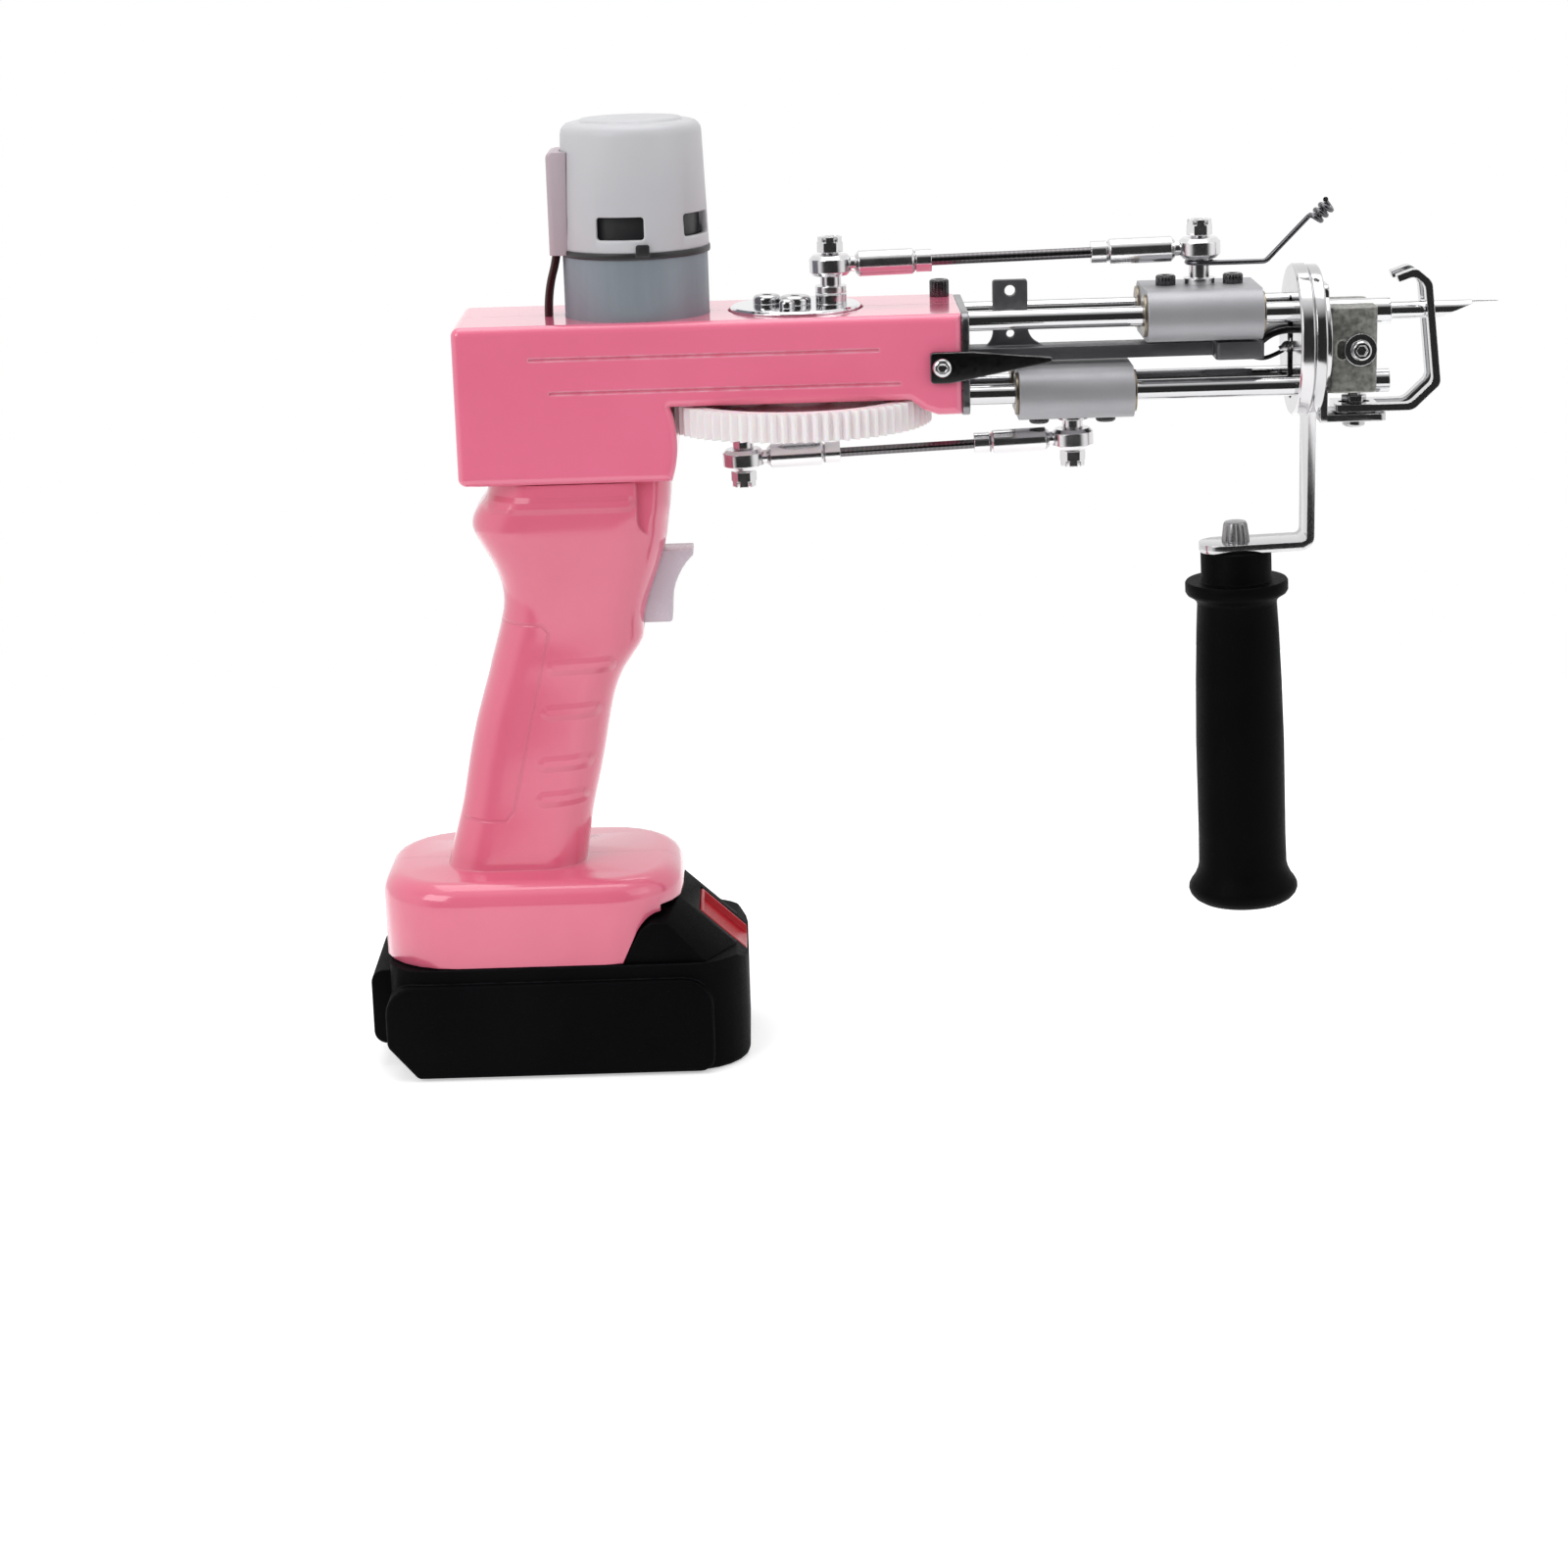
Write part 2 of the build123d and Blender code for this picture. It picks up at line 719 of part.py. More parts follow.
# Nose plate: a disc with a lug on top and a shelf folded forward below
with BuildPart() as nose_plate:
    with BuildSketch(Plane.YZ.offset(hub_front_x)):
        with Locations((0, ring_z)):
            Circle(nose_plate_half_width)
        with Locations((0, ring_z)):
            Rectangle(2 * nose_shelf_half_width, nose_plate_top_z - ring_z, align=(Align.CENTER, Align.MIN))
        with Locations((0, nose_shelf_z)):
            Rectangle(2 * nose_shelf_half_width, ring_z - nose_shelf_z, align=(Align.CENTER, Align.MIN))
        with Locations((0, needle_z)):
            Circle(nose_bush_radius + fit, mode=Mode.SUBTRACT)
        with Locations((0, cutter_rod_z)):
            Circle(lower_bush_radius + fit, mode=Mode.SUBTRACT)
    extrude(amount=nose_plate_thickness)
    with BuildSketch(Plane.XY.offset(nose_shelf_z)):
        with Locations((hub_front_x, 0)):
            Rectangle(nose_shelf_front_x - hub_front_x, 2 * nose_shelf_half_width, align=(Align.MIN, Align.CENTER))
        with Locations((foot_screw_x, 0)):
            Circle(stud_radius + fit, mode=Mode.SUBTRACT)
    extrude(amount=nose_plate_thickness)
    fillet(nose_plate.edges().filter_by(Axis.Z).group_by(Axis.X)[-1], nose_plate_thickness)
save(nose_plate, "nose_plate")

# Nose block with open grooves for the two guide bushes
with BuildPart() as nose_block:
    with BuildSketch(Plane.XZ):
        with BuildLine():
            Polyline(
                (nose_rear_x, nose_low_z),
                (nose_front_x, nose_low_z),
                (nose_front_x, nose_high_z),
                (nose_rear_x, nose_high_z),
                close=True,
            )
        make_face()
    extrude(amount=nose_half_width, both=True)
    fillet(nose_block.edges().filter_by(Axis.Z), nose_edge)
    with Locations((nose_rear_x, 0, needle_z)):
        Cylinder(
            nose_bush_radius + fit,
            nose_front_x,
            rotation=(0, 90, 0),
            align=(Align.CENTER, Align.CENTER, Align.MIN),
            mode=Mode.SUBTRACT,
        )
    with Locations((nose_rear_x, 0, cutter_rod_z)):
        Cylinder(
            lower_bush_radius + fit,
            nose_front_x,
            rotation=(0, 90, 0),
            align=(Align.CENTER, Align.CENTER, Align.MIN),
            mode=Mode.SUBTRACT,
        )
    with BuildSketch(Plane.XZ.offset(nose_half_width)):
        with Locations((nose_slot_x, nose_screw_z)):
            SlotOverall(nose_slot_height, nose_slot_width, rotation=90)
    extrude(amount=-nose_slot_depth, mode=Mode.SUBTRACT)
save(nose_block, "nose_block")

# Guide bushes of the needle and of the cutter rod
with BuildPart() as nose_bushes:
    for height, outer_radius, inner_radius in (
        (needle_z, nose_bush_radius, needle_radius + fit),
        (cutter_rod_z, lower_bush_radius, cutter_rod_radius + fit),
    ):
        with BuildSketch(Plane.YZ.offset(hub_front_x)):
            with Locations((0, height)):
                Circle(outer_radius)
                Circle(inner_radius, mode=Mode.SUBTRACT)
        extrude(amount=nose_bush_front_x - hub_front_x)
save(nose_bushes, "nose_bushes")

# Washer and bolt on the near side of the nose block
with BuildPart() as nose_bolt:
    with BuildSketch(Plane.XZ.offset(nose_half_width)):
        with Locations((nose_screw_x, nose_screw_z)):
            Circle(nose_washer_radius)
    extrude(amount=nose_washer_height)
    with BuildSketch(Plane.XZ.offset(nose_half_width + nose_washer_height)):
        with Locations((nose_screw_x, nose_screw_z)):
            Circle(nose_bolt_radius)
    extrude(amount=nose_bolt_height)
    chamfer(nose_bolt.faces().sort_by(Axis.Y)[0].edges(), screw_hex_depth / 3)
    with BuildSketch(Plane.XZ.offset(nose_half_width + nose_washer_height + nose_bolt_height)):
        with Locations((nose_screw_x, nose_screw_z)):
            RegularPolygon(screw_hex_radius, 6)
    extrude(amount=-screw_hex_depth, mode=Mode.SUBTRACT)
save(nose_bolt, "nose_bolt")

# Drive gear in white nylon: a toothed rim, a thinner web and a hub with a boss for the lower stud
with BuildPart() as drive_gear:
    with BuildSketch(Plane(origin=(crank_x, 0, gear_bottom_z))):
        with BuildLine():
            Polyline(*tooth_outline(gear_teeth), close=True)
        make_face()
        Circle(crank_shaft_radius, mode=Mode.SUBTRACT)
    extrude(amount=gear_thickness)
    for recess_z in (gear_bottom_z, gear_middle_z + gear_web_thickness / 2):
        with BuildSketch(Plane.XY.offset(recess_z)):
            with Locations((crank_x, 0)):
                Circle(gear_tip_radius - gear_rim_width)
                Circle(gear_hub_radius, mode=Mode.SUBTRACT)
            with Locations((crank_x - lower_throw, 0)):
                Circle(gear_hub_radius / 2 + stud_radius, mode=Mode.SUBTRACT)
        extrude(amount=(gear_thickness - gear_web_thickness) / 2, mode=Mode.SUBTRACT)
save(drive_gear, "drive_gear")

# Crank shaft: a headed pin through the gear and both bearings
with BuildPart() as crank_shaft:
    with Locations((crank_x, 0, gear_bottom_z - shaft_head_height)):
        Cylinder(shaft_head_radius, shaft_head_height, align=(Align.CENTER, Align.CENTER, Align.MIN))
        Cylinder(
            crank_shaft_radius,
            disc_top_z - gear_bottom_z + shaft_head_height,
            align=(Align.CENTER, Align.CENTER, Align.MIN),
        )
    chamfer(crank_shaft.faces().sort_by(Axis.Z)[0].edges(), ring_edge)
save(crank_shaft, "crank_shaft")

# Two sealed ball bearings in the arm
with BuildPart() as crank_bearings:
    for low_z in (lower_bearing_z, upper_bearing_z):
        with BuildSketch(Plane.XY.offset(low_z)):
            with Locations((crank_x, 0)):
                Circle(bearing_radius)
                Circle(crank_shaft_radius + fit, mode=Mode.SUBTRACT)
        extrude(amount=bearing_height)
        for shield_z in (low_z, low_z + bearing_height - bearing_shield_drop):
            with BuildSketch(Plane.XY.offset(shield_z)):
                with Locations((crank_x, 0)):
                    Circle(bearing_radius - bearing_ring_wall)
                    Circle(crank_shaft_radius + bearing_ring_wall, mode=Mode.SUBTRACT)
            extrude(amount=bearing_shield_drop, mode=Mode.SUBTRACT)
save(crank_bearings, "crank_bearings")

# Crank disc in the scoop of the roof
with BuildPart() as crank_disc:
    with BuildSketch(Plane.XY.offset(disc_bottom_z)):
        with Locations((crank_x, 0)):
            Circle(disc_radius)
            Circle(crank_shaft_radius, mode=Mode.SUBTRACT)
    extrude(amount=disc_thickness)
    chamfer(crank_disc.edges().filter_by(GeomType.CIRCLE).group_by(SortBy.LENGTH)[-1], ring_edge)
save(crank_disc, "crank_disc")

# Button-head screws on the disc: one over the shaft, one beside it and a small one
with BuildPart() as crank_screws:
    for screw_x, screw_y, head_radius in (
        (crank_x, 0, screw_head_radius + ring_edge),
        (crank_x + side_screw_x, side_screw_y, screw_head_radius),
        (crank_x + small_screw_x, small_screw_y, small_screw_radius),
    ):
        with Locations((screw_x, screw_y, disc_top_z)):
            Cylinder(head_radius, screw_head_height, align=(Align.CENTER, Align.CENTER, Align.MIN))
    fillet(crank_screws.edges().filter_by(GeomType.CIRCLE).group_by(Axis.Z)[-1], screw_hex_depth)
    # collars under the two ball studs, one on the disc and one under the gear
    with Locations((crank_x + upper_throw, 0, disc_top_z)):
        Cylinder(stud_flange_radius, stud_collar_height, align=(Align.CENTER, Align.CENTER, Align.MIN))
    with Locations((crank_x - lower_throw, 0, gear_bottom_z)):
        Cylinder(stud_flange_radius, stud_collar_drop, align=(Align.CENTER, Align.CENTER, Align.MAX))
    for screw_x, screw_y in ((crank_x, 0), (crank_x + side_screw_x, side_screw_y)):
        with BuildSketch(Plane.XY.offset(disc_top_z + screw_head_height)):
            with Locations((screw_x, screw_y)):
                RegularPolygon(screw_hex_radius, 6)
        extrude(amount=-screw_hex_depth, mode=Mode.SUBTRACT)
save(crank_screws, "crank_screws")

# Steel pinion on the motor shaft
with BuildPart() as pinion:
    with BuildSketch(Plane(origin=(motor_x, 0, gear_bottom_z)).rotated((0, 0, 180 / pinion_teeth))):
        with BuildLine():
            Polyline(*tooth_outline(pinion_teeth), close=True)
        make_face()
        Circle(motor_shaft_radius, mode=Mode.SUBTRACT)
    extrude(amount=gear_thickness + pinion_overhang)
    with BuildSketch(Plane.XY.offset(gear_top_z + pinion_overhang)):
        with Locations((motor_x, 0)):
            Circle(pinion_hub_radius)
            Circle(motor_shaft_radius, mode=Mode.SUBTRACT)
    extrude(amount=pinion_hub_height)
save(pinion, "pinion")

# Armature: the motor shaft with its wound core and commutator
with BuildPart() as motor_shaft:
    for low_z, high_z, radius in (
        (motor_shaft_bottom_z, motor_shaft_top_z, motor_shaft_radius),
        (armature_low_z, armature_high_z, armature_radius),
        (brush_box_low_z - 2 * gap, brush_box_high_z + gap, commutator_radius),
    ):
        with Locations((motor_x, 0, low_z)):
            Cylinder(radius, high_z - low_z, align=(Align.CENTER, Align.CENTER, Align.MIN))
save(motor_shaft, "motor_armature")

# Steel motor can, open towards the end bell
with BuildPart() as motor_can:
    with Locations((motor_x, 0, can_bottom_z)):
        Cylinder(can_radius, can_top_z - can_bottom_z, align=(Align.CENTER, Align.CENTER, Align.MIN))
    chamfer(motor_can.faces().sort_by(Axis.Z)[0].edges(), can_edge_radius)
    with Locations((motor_x, 0, can_bottom_z + bell_wall)):
        Cylinder(
            can_radius - bell_wall,
            can_top_z - can_bottom_z,
            align=(Align.CENTER, Align.CENTER, Align.MIN),
            mode=Mode.SUBTRACT,
        )
    with Locations((motor_x, 0, can_bottom_z)):
        Cylinder(motor_shaft_radius + fit, bell_wall * 2, mode=Mode.SUBTRACT)
save(motor_can, "motor_can")

# Black end bell with the two brush boxes
with BuildPart() as end_bell:
    with Locations((motor_x, 0, can_top_z)):
        Cylinder(can_radius, bell_wall, align=(Align.CENTER, Align.CENTER, Align.MIN))
        Cylinder(bell_radius, bell_top_z - can_top_z, align=(Align.CENTER, Align.CENTER, Align.MIN))
        Cylinder(
            bell_radius - bell_wall,
            bell_top_z - can_top_z - bell_wall,
            align=(Align.CENTER, Align.CENTER, Align.MIN),
            mode=Mode.SUBTRACT,
        )
    for side in (1, -1):
        with Locations((motor_x, side * (bell_radius - bell_wall / 2), (brush_box_low_z + brush_box_high_z) / 2)):
            Box(
                brush_box_width,
                brush_box_reach,
                brush_box_high_z - brush_box_low_z,
                align=(Align.CENTER, Align.MAX if side > 0 else Align.MIN, Align.CENTER),
            )
    with Locations((motor_x, 0, bell_top_z)):
        Cylinder(motor_shaft_radius + fit, 2 * bell_wall + fit, mode=Mode.SUBTRACT)
save(end_bell, "motor_end_bell")

# Clear cap over the end bell: a slightly drafted cup with five windows
with BuildPart() as motor_cap:
    with BuildSketch(Plane.XZ):
        with BuildLine():
            Polyline(
                (motor_x, can_top_z + bell_wall),
                (motor_x + cap_bottom_radius, can_top_z + bell_wall),
                (motor_x + cap_top_radius, cap_top_z),
                (motor_x, cap_top_z),
                close=True,
            )
        make_face()
    revolve(axis=Axis((motor_x, 0, 0), (0, 0, 1)))
    fillet(motor_cap.faces().sort_by(Axis.Z)[-1].edges(), cap_edge_radius)
    with Locations((motor_x, 0, cap_top_z)):
        Cylinder(cap_ring_radius, cap_ring_height, align=(Align.CENTER, Align.CENTER, Align.MIN))
    with BuildSketch(Plane.XZ):
        with BuildLine():
            Polyline(
                (motor_x, can_top_z + bell_wall),
                (motor_x + cap_bottom_radius - cap_wall, can_top_z + bell_wall),
                (motor_x + cap_top_radius - cap_wall, cap_top_z - cap_edge_radius),
                (motor_x + cap_top_radius - cap_edge_radius, cap_top_z - cap_wall),
                (motor_x, cap_top_z - cap_wall),
                close=True,
            )
        make_face()
    revolve(axis=Axis((motor_x, 0, 0), (0, 0, 1)), mode=Mode.SUBTRACT)
    for window in range(window_count):
        turn = window_first_angle + window * 360 / window_count
        with Locations(Location((motor_x, 0, window_middle_z), (0, 0, turn))):
            Box(
                can_radius + cap_wall,
                window_width,
                window_height,
                align=(Align.MIN, Align.CENTER, Align.CENTER),
                mode=Mode.SUBTRACT,
            )
save(motor_cap, "motor_cap")

# Wire cover on the rear of the cap, open below
with BuildPart() as wire_cover:
    with BuildSketch(Plane.XY.offset(wire_cover_low_z)):
        with Locations((wire_cover_rear_x, 0)):
            Rectangle(wire_cover_front_x - wire_cover_rear_x, 2 * wire_cover_half_width, align=(Align.MIN, Align.CENTER))
    extrude(amount=wire_cover_top_z - wire_cover_low_z)
    fillet(wire_cover.faces().sort_by(Axis.X)[0].edges().filter_by(Axis.Z), 2 * wire_cover_wall)
    fillet(wire_cover.faces().sort_by(Axis.Z)[-1].edges(), wire_cover_wall)
    with BuildSketch(Plane.XY.offset(wire_cover_low_z)):
        with Locations((wire_cover_rear_x + wire_cover_wall, 0)):
            Rectangle(
                wire_cover_front_x - wire_cover_rear_x,
                2 * (wire_cover_half_width - wire_cover_wall),
                align=(Align.MIN, Align.CENTER),
            )
    extrude(amount=wire_cover_top_z - wire_cover_low_z - wire_cover_wall, mode=Mode.SUBTRACT)
    with Locations((motor_x, 0, wire_cover_low_z)):
        Cylinder(
            cap_bottom_radius + fit,
            wire_cover_top_z,
            align=(Align.CENTER, Align.CENTER, Align.MIN),
            mode=Mode.SUBTRACT,
        )
save(wire_cover, "wire_cover")

# Two motor leads from the wire cover down to the roof of the housing
for side, name in ((1, "motor_lead_far"), (-1, "motor_lead_near")):
    with BuildPart() as lead:
        with BuildLine():
            FilletPolyline(
                (lead_top_x, side * lead_spacing / 2, lead_top_z + lead_bend_radius),
                (lead_top_x, side * lead_spacing / 2, wire_cover_low_z),
                (lead_low_x, side * lead_spacing / 2, (wire_cover_low_z + housing_top_z) / 2),
                (lead_low_x, side * lead_spacing / 2, housing_top_z),
                radius=lead_bend_radius,
            )
        with BuildSketch(Plane.XY.offset(lead_top_z + lead_bend_radius)):
            with Locations((lead_top_x, side * lead_spacing / 2)):
                Circle(lead_radius)
        sweep()
    save(lead, name)

# The two sliders: rounded aluminium blocks bored for the rods
for middle_x, middle_z, bore_z, bore_radius, bore_rear_x, name in (
    (needle_slider_x, upper_rod_z, needle_z, needle_radius, needle_rear_x, "needle_slider"),
    (cutter_slider_x, lower_rod_z, cutter_rod_z, cutter_rod_radius, cutter_rod_rear_x, "cutter_slider"),
):
    with BuildPart() as slider:
        with BuildSketch(Plane.YZ.offset(middle_x - slider_length / 2)):
            with Locations((0, middle_z)):
                RectangleRounded(slider_width, slider_height, slider_side_radius)
            with Locations((rod_spread, middle_z), (-rod_spread, middle_z)):
                Circle(rod_radius + bush_wall, mode=Mode.SUBTRACT)
        extrude(amount=slider_length)
        with Locations((bore_rear_x, 0, bore_z)):
            Cylinder(
                bore_radius + fit,
                slider_length,
                rotation=(0, 90, 0),
                align=(Align.CENTER, Align.CENTER, Align.MIN),
                mode=Mode.SUBTRACT,
            )
    save(slider, name)

# Flanged bronze bushes pressed into both ends of the sliders
for middle_x, middle_z, name in (
    (needle_slider_x, upper_rod_z, "needle_slider_bushes"),
    (cutter_slider_x, lower_rod_z, "cutter_slider_bushes"),
):
    with BuildPart() as bushes:
        with BuildSketch(Plane.YZ.offset(middle_x - slider_length / 2)):
            with Locations((rod_spread, middle_z), (-rod_spread, middle_z)):
                Circle(rod_radius + bush_wall)
                Circle(rod_radius + fit, mode=Mode.SUBTRACT)
        extrude(amount=slider_length)
        for end_x in (middle_x - slider_length / 2 - bush_flange, middle_x + slider_length / 2):
            with BuildSketch(Plane.YZ.offset(end_x)):
                with Locations((rod_spread, middle_z), (-rod_spread, middle_z)):
                    Circle(rod_radius + 2 * bush_wall)
                    Circle(rod_radius + fit, mode=Mode.SUBTRACT)
            extrude(amount=bush_flange)
    save(bushes, name)

# Socket screws on the roof of the needle slider and under the cutter slider
for middle_x, face_z, way, name in (
    (needle_slider_x, upper_rod_z + slider_height / 2, 1, "needle_slider_screws"),
    (cutter_slider_x, lower_rod_z - slider_height / 2, -1, "cutter_slider_screws"),
):
    with BuildPart() as slider_screws:
        for reach in (slider_screw_reach, -slider_screw_reach):
            with BuildSketch(Plane.XY.offset(face_z)):
                with Locations((middle_x + reach, 0)):
                    Circle(slider_screw_radius)
            extrude(amount=way * slider_screw_height)
            with BuildSketch(Plane.XY.offset(face_z + way * slider_screw_height)):
                with Locations((middle_x + reach, 0)):
                    RegularPolygon(screw_hex_radius, 6)
            extrude(amount=-way * screw_hex_depth, mode=Mode.SUBTRACT)
    save(slider_screws, name)

# Ball studs: flange, collar, ball, thread and a castle nut; way is +1 for nut above, -1 for nut below
for stud_x, face_z, ball_z, way, clearance, name in (
    (crank_x + upper_throw, disc_top_z + stud_collar_height, upper_pin_z, 1, gap, "upper_crank_stud"),
    (needle_slider_x, upper_rod_z + slider_height / 2, upper_front_z, 1, 0, "needle_slider_stud"),
    (crank_x - lower_throw, gear_bottom_z - stud_collar_drop, lower_pin_z, -1, gap, "lower_crank_stud"),
    (cutter_slider_x, lower_rod_z - slider_height / 2, lower_front_z, -1, 0, "cutter_slider_stud"),
):
    start_z = face_z + way * clearance
    nut_z = ball_z + way * (ball_radius - gap)
    with BuildPart() as stud:
        for low, high, radius in (
            (start_z, start_z + way * stud_flange_height, stud_flange_radius),
            (start_z, ball_z - way * ball_radius * cos(radians(pressure_angle * 2)), stud_collar_radius),
            (ball_z, nut_z + way * (nut_height - nut_castle_depth / 2), stud_radius),
        ):
            with BuildSketch(Plane.XY.offset(low)):
                with Locations((stud_x, 0)):
                    Circle(radius)
            extrude(amount=high - low)
        with Locations((stud_x, 0, ball_z)):
            Sphere(ball_radius)
        with BuildSketch(Plane.XY.offset(nut_z)):
            with Locations((stud_x, 0)):
                RegularPolygon(nut_across / 2, 6, major_radius=False)
        extrude(amount=way * nut_height)
        for slot in range(3):
            with Locations(Location((stud_x, 0, nut_z + way * nut_height), (0, 0, 60 * slot))):
                Box(2 * nut_across, nut_slot_width, 2 * nut_castle_depth, mode=Mode.SUBTRACT)
        with BuildSketch(Plane.XY.offset(nut_z)):
            with Locations((stud_x, 0)):
                Circle(stud_radius)
        extrude(amount=way * (nut_height - nut_castle_depth / 2))
    save(stud, name)

# Two adjustable links: forged ends with ball eyes, a thin tie rod and lock nuts
for rear_x, rear_z, front_x, front_z, starts, rear_length, front_length, tie_radius, name in (
    (
        crank_x + upper_throw, upper_pin_z, needle_slider_x, upper_front_z,
        upper_barrel_start, upper_barrel_length, upper_front_barrel_length, upper_tie_radius, "upper_link",
    ),
    (
        crank_x - lower_throw, lower_pin_z, cutter_slider_x, lower_front_z,
        lower_barrel_start, lower_barrel_length, lower_front_barrel_length, lower_tie_radius, "lower_link",
    ),
):
    reach = sqrt((front_x - rear_x) ** 2 + (front_z - rear_z) ** 2)
    share_x = (front_x - rear_x) / reach
    share_z = (front_z - rear_z) / reach
    link_plane = Plane(origin=(rear_x, 0, rear_z), x_dir=(share_x, 0, share_z), z_dir=(-share_z, 0, share_x))
    rear_end = starts + rear_length
    front_end = reach - starts - front_length
    with BuildPart(link_plane) as ends:
        for eye_x in (0, reach):
            with Locations((eye_x, 0, 0)):
                Cylinder(eye_radius, eye_height)
        chamfer(ends.edges().filter_by(GeomType.CIRCLE), eye_edge)
        for barrel_x, length in ((starts, rear_length), (front_end, front_length)):
            with Locations((barrel_x, 0, 0)):
                Cylinder(barrel_radius, length, rotation=(0, 90, 0), align=(Align.CENTER, Align.CENTER, Align.MIN))
        barrel_ends = ends.edges().filter_by(GeomType.CIRCLE).filter_by(lambda edge: edge.radius == barrel_radius)
        chamfer(barrel_ends, barrel_edge)
        for neck_x in (0, reach - starts - barrel_edge):
            with Locations((neck_x, 0, 0)):
                Cylinder(
                    neck_radius,
                    starts + barrel_edge,
                    rotation=(0, 90, 0),
                    align=(Align.CENTER, Align.CENTER, Align.MIN),
                )
        for eye_x in (0, reach):
            with Locations((eye_x, 0, 0)):
                Sphere(ball_radius + fit, mode=Mode.SUBTRACT)
                Cylinder(stud_collar_radius + fit, 2 * eye_height, mode=Mode.SUBTRACT)
    save(ends, name + "_ends")
    with BuildPart(link_plane) as tie:
        with Locations((rear_end, 0, 0)):
            Cylinder(tie_radius, front_end - rear_end, rotation=(0, 90, 0), align=(Align.CENTER, Align.CENTER, Align.MIN))
    save(tie, name + "_tie_rod")
    with BuildPart(link_plane) as lock_nuts:
        for nut_x in (rear_end, front_end - lock_nut_length):
            with Locations(Location((nut_x, 0, 0), (0, 90, 0))):
                Cylinder(
                    lock_nut_radius,
                    lock_nut_length,
                    align=(Align.CENTER, Align.CENTER, Align.MIN),
                )
                Cylinder(
                    tie_radius,
                    lock_nut_length,
                    align=(Align.CENTER, Align.CENTER, Align.MIN),
                    mode=Mode.SUBTRACT,
                )
    save(lock_nuts, name + "_lock_nuts")

# Hollow needle, cut obliquely, with a thin spike that opens the cloth
with BuildPart() as needle:
    with BuildSketch(Plane.YZ.offset(needle_rear_x)):
        with Locations((0, needle_z)):
            Circle(needle_radius)
            Circle(needle_bore, mode=Mode.SUBTRACT)
    extrude(amount=needle_cut_end_x - needle_rear_x)
    with BuildSketch(Plane.XZ):
        with BuildLine():
            Polyline(
                (needle_cut_start_x, needle_z - needle_radius),
                (needle_cut_end_x, needle_z + needle_bore),
                (needle_tip_x, needle_z + needle_bore),
                (needle_tip_x, needle_z - 2 * needle_radius),
                (needle_cut_start_x, needle_z - 2 * needle_radius),
                close=True,
            )
        make_face()
    extrude(amount=2 * needle_radius, both=True, mode=Mode.SUBTRACT)
    spike_z = needle_z + (needle_radius + needle_bore) / 2
    with Locations((needle_cut_start_x, 0, spike_z)):
        Cone(
            (needle_radius - needle_bore) / 2 + fit,
            needle_tip_radius / 2,
            needle_tip_x - needle_cut_start_x,
            rotation=(0, 90, 0),
            align=(Align.CENTER, Align.CENTER, Align.MIN),
        )
save(needle, "needle")

# Cutter rod with its flat blade end, driven by the lower slider
with BuildPart() as cutter_rod:
    with Locations((cutter_rod_rear_x, 0, cutter_rod_z)):
        Cylinder(
            cutter_rod_radius,
            cutter_rod_front_x - cutter_rod_rear_x,
            rotation=(0, 90, 0),
            align=(Align.CENTER, Align.CENTER, Align.MIN),
        )
    for side in (1, -1):
        with Locations((cutter_rod_front_x - cutter_blade_length, side * cutter_blade_thickness / 2, cutter_rod_z)):
            Box(
                2 * cutter_blade_length,
                2 * cutter_rod_radius,
                2 * cutter_rod_radius,
                align=(Align.MIN, Align.MIN if side > 0 else Align.MAX, Align.CENTER),
                mode=Mode.SUBTRACT,
            )
    with BuildSketch(Plane.XZ):
        with BuildLine():
            Polyline(
                (cutter_rod_front_x, cutter_rod_z - cutter_rod_radius),
                (cutter_rod_front_x - cutter_rod_radius, cutter_rod_z + cutter_rod_radius),
                (cutter_rod_front_x + cutter_rod_radius, cutter_rod_z + cutter_rod_radius),
                (cutter_rod_front_x + cutter_rod_radius, cutter_rod_z - cutter_rod_radius),
                close=True,
            )
        make_face()
    extrude(amount=cutter_rod_radius, both=True, mode=Mode.SUBTRACT)
save(cutter_rod, "cutter_rod")

# Presser foot: a slotted plate whose two flat legs run forward, up and curl back at the top
with BuildPart() as presser_foot:
    for side in (1, -1):
        with BuildSketch(Plane.XZ.offset(side * foot_spread)):
            with BuildLine():
                FilletPolyline(
                    (foot_rear_x, foot_low_z),
                    (foot_heel_x, foot_low_z),
                    (foot_toe_x, foot_toe_z),
                    (foot_top_x, foot_top_z),
                    (foot_curl_x, foot_curl_z),
                    (foot_tip_x, foot_tip_z),
                    radius=foot_bar_thickness,
                )
            trace(line_width=foot_bar_thickness)
        extrude(amount=foot_bar_width / 2, both=True)
    with BuildSketch(Plane.XY.offset(foot_low_z - foot_bar_thickness / 2)):
        with Locations((foot_rear_x, 0)):
            Rectangle(
                2 * (foot_screw_x - foot_rear_x),
                2 * foot_spread + foot_bar_width,
                align=(Align.MIN, Align.CENTER),
            )
        with Locations((foot_screw_x, 0)):
            SlotOverall(foot_slot_length, 2 * stud_radius + 4 * fit, mode=Mode.SUBTRACT)
    extrude(amount=foot_bar_thickness)
save(presser_foot, "presser_foot")

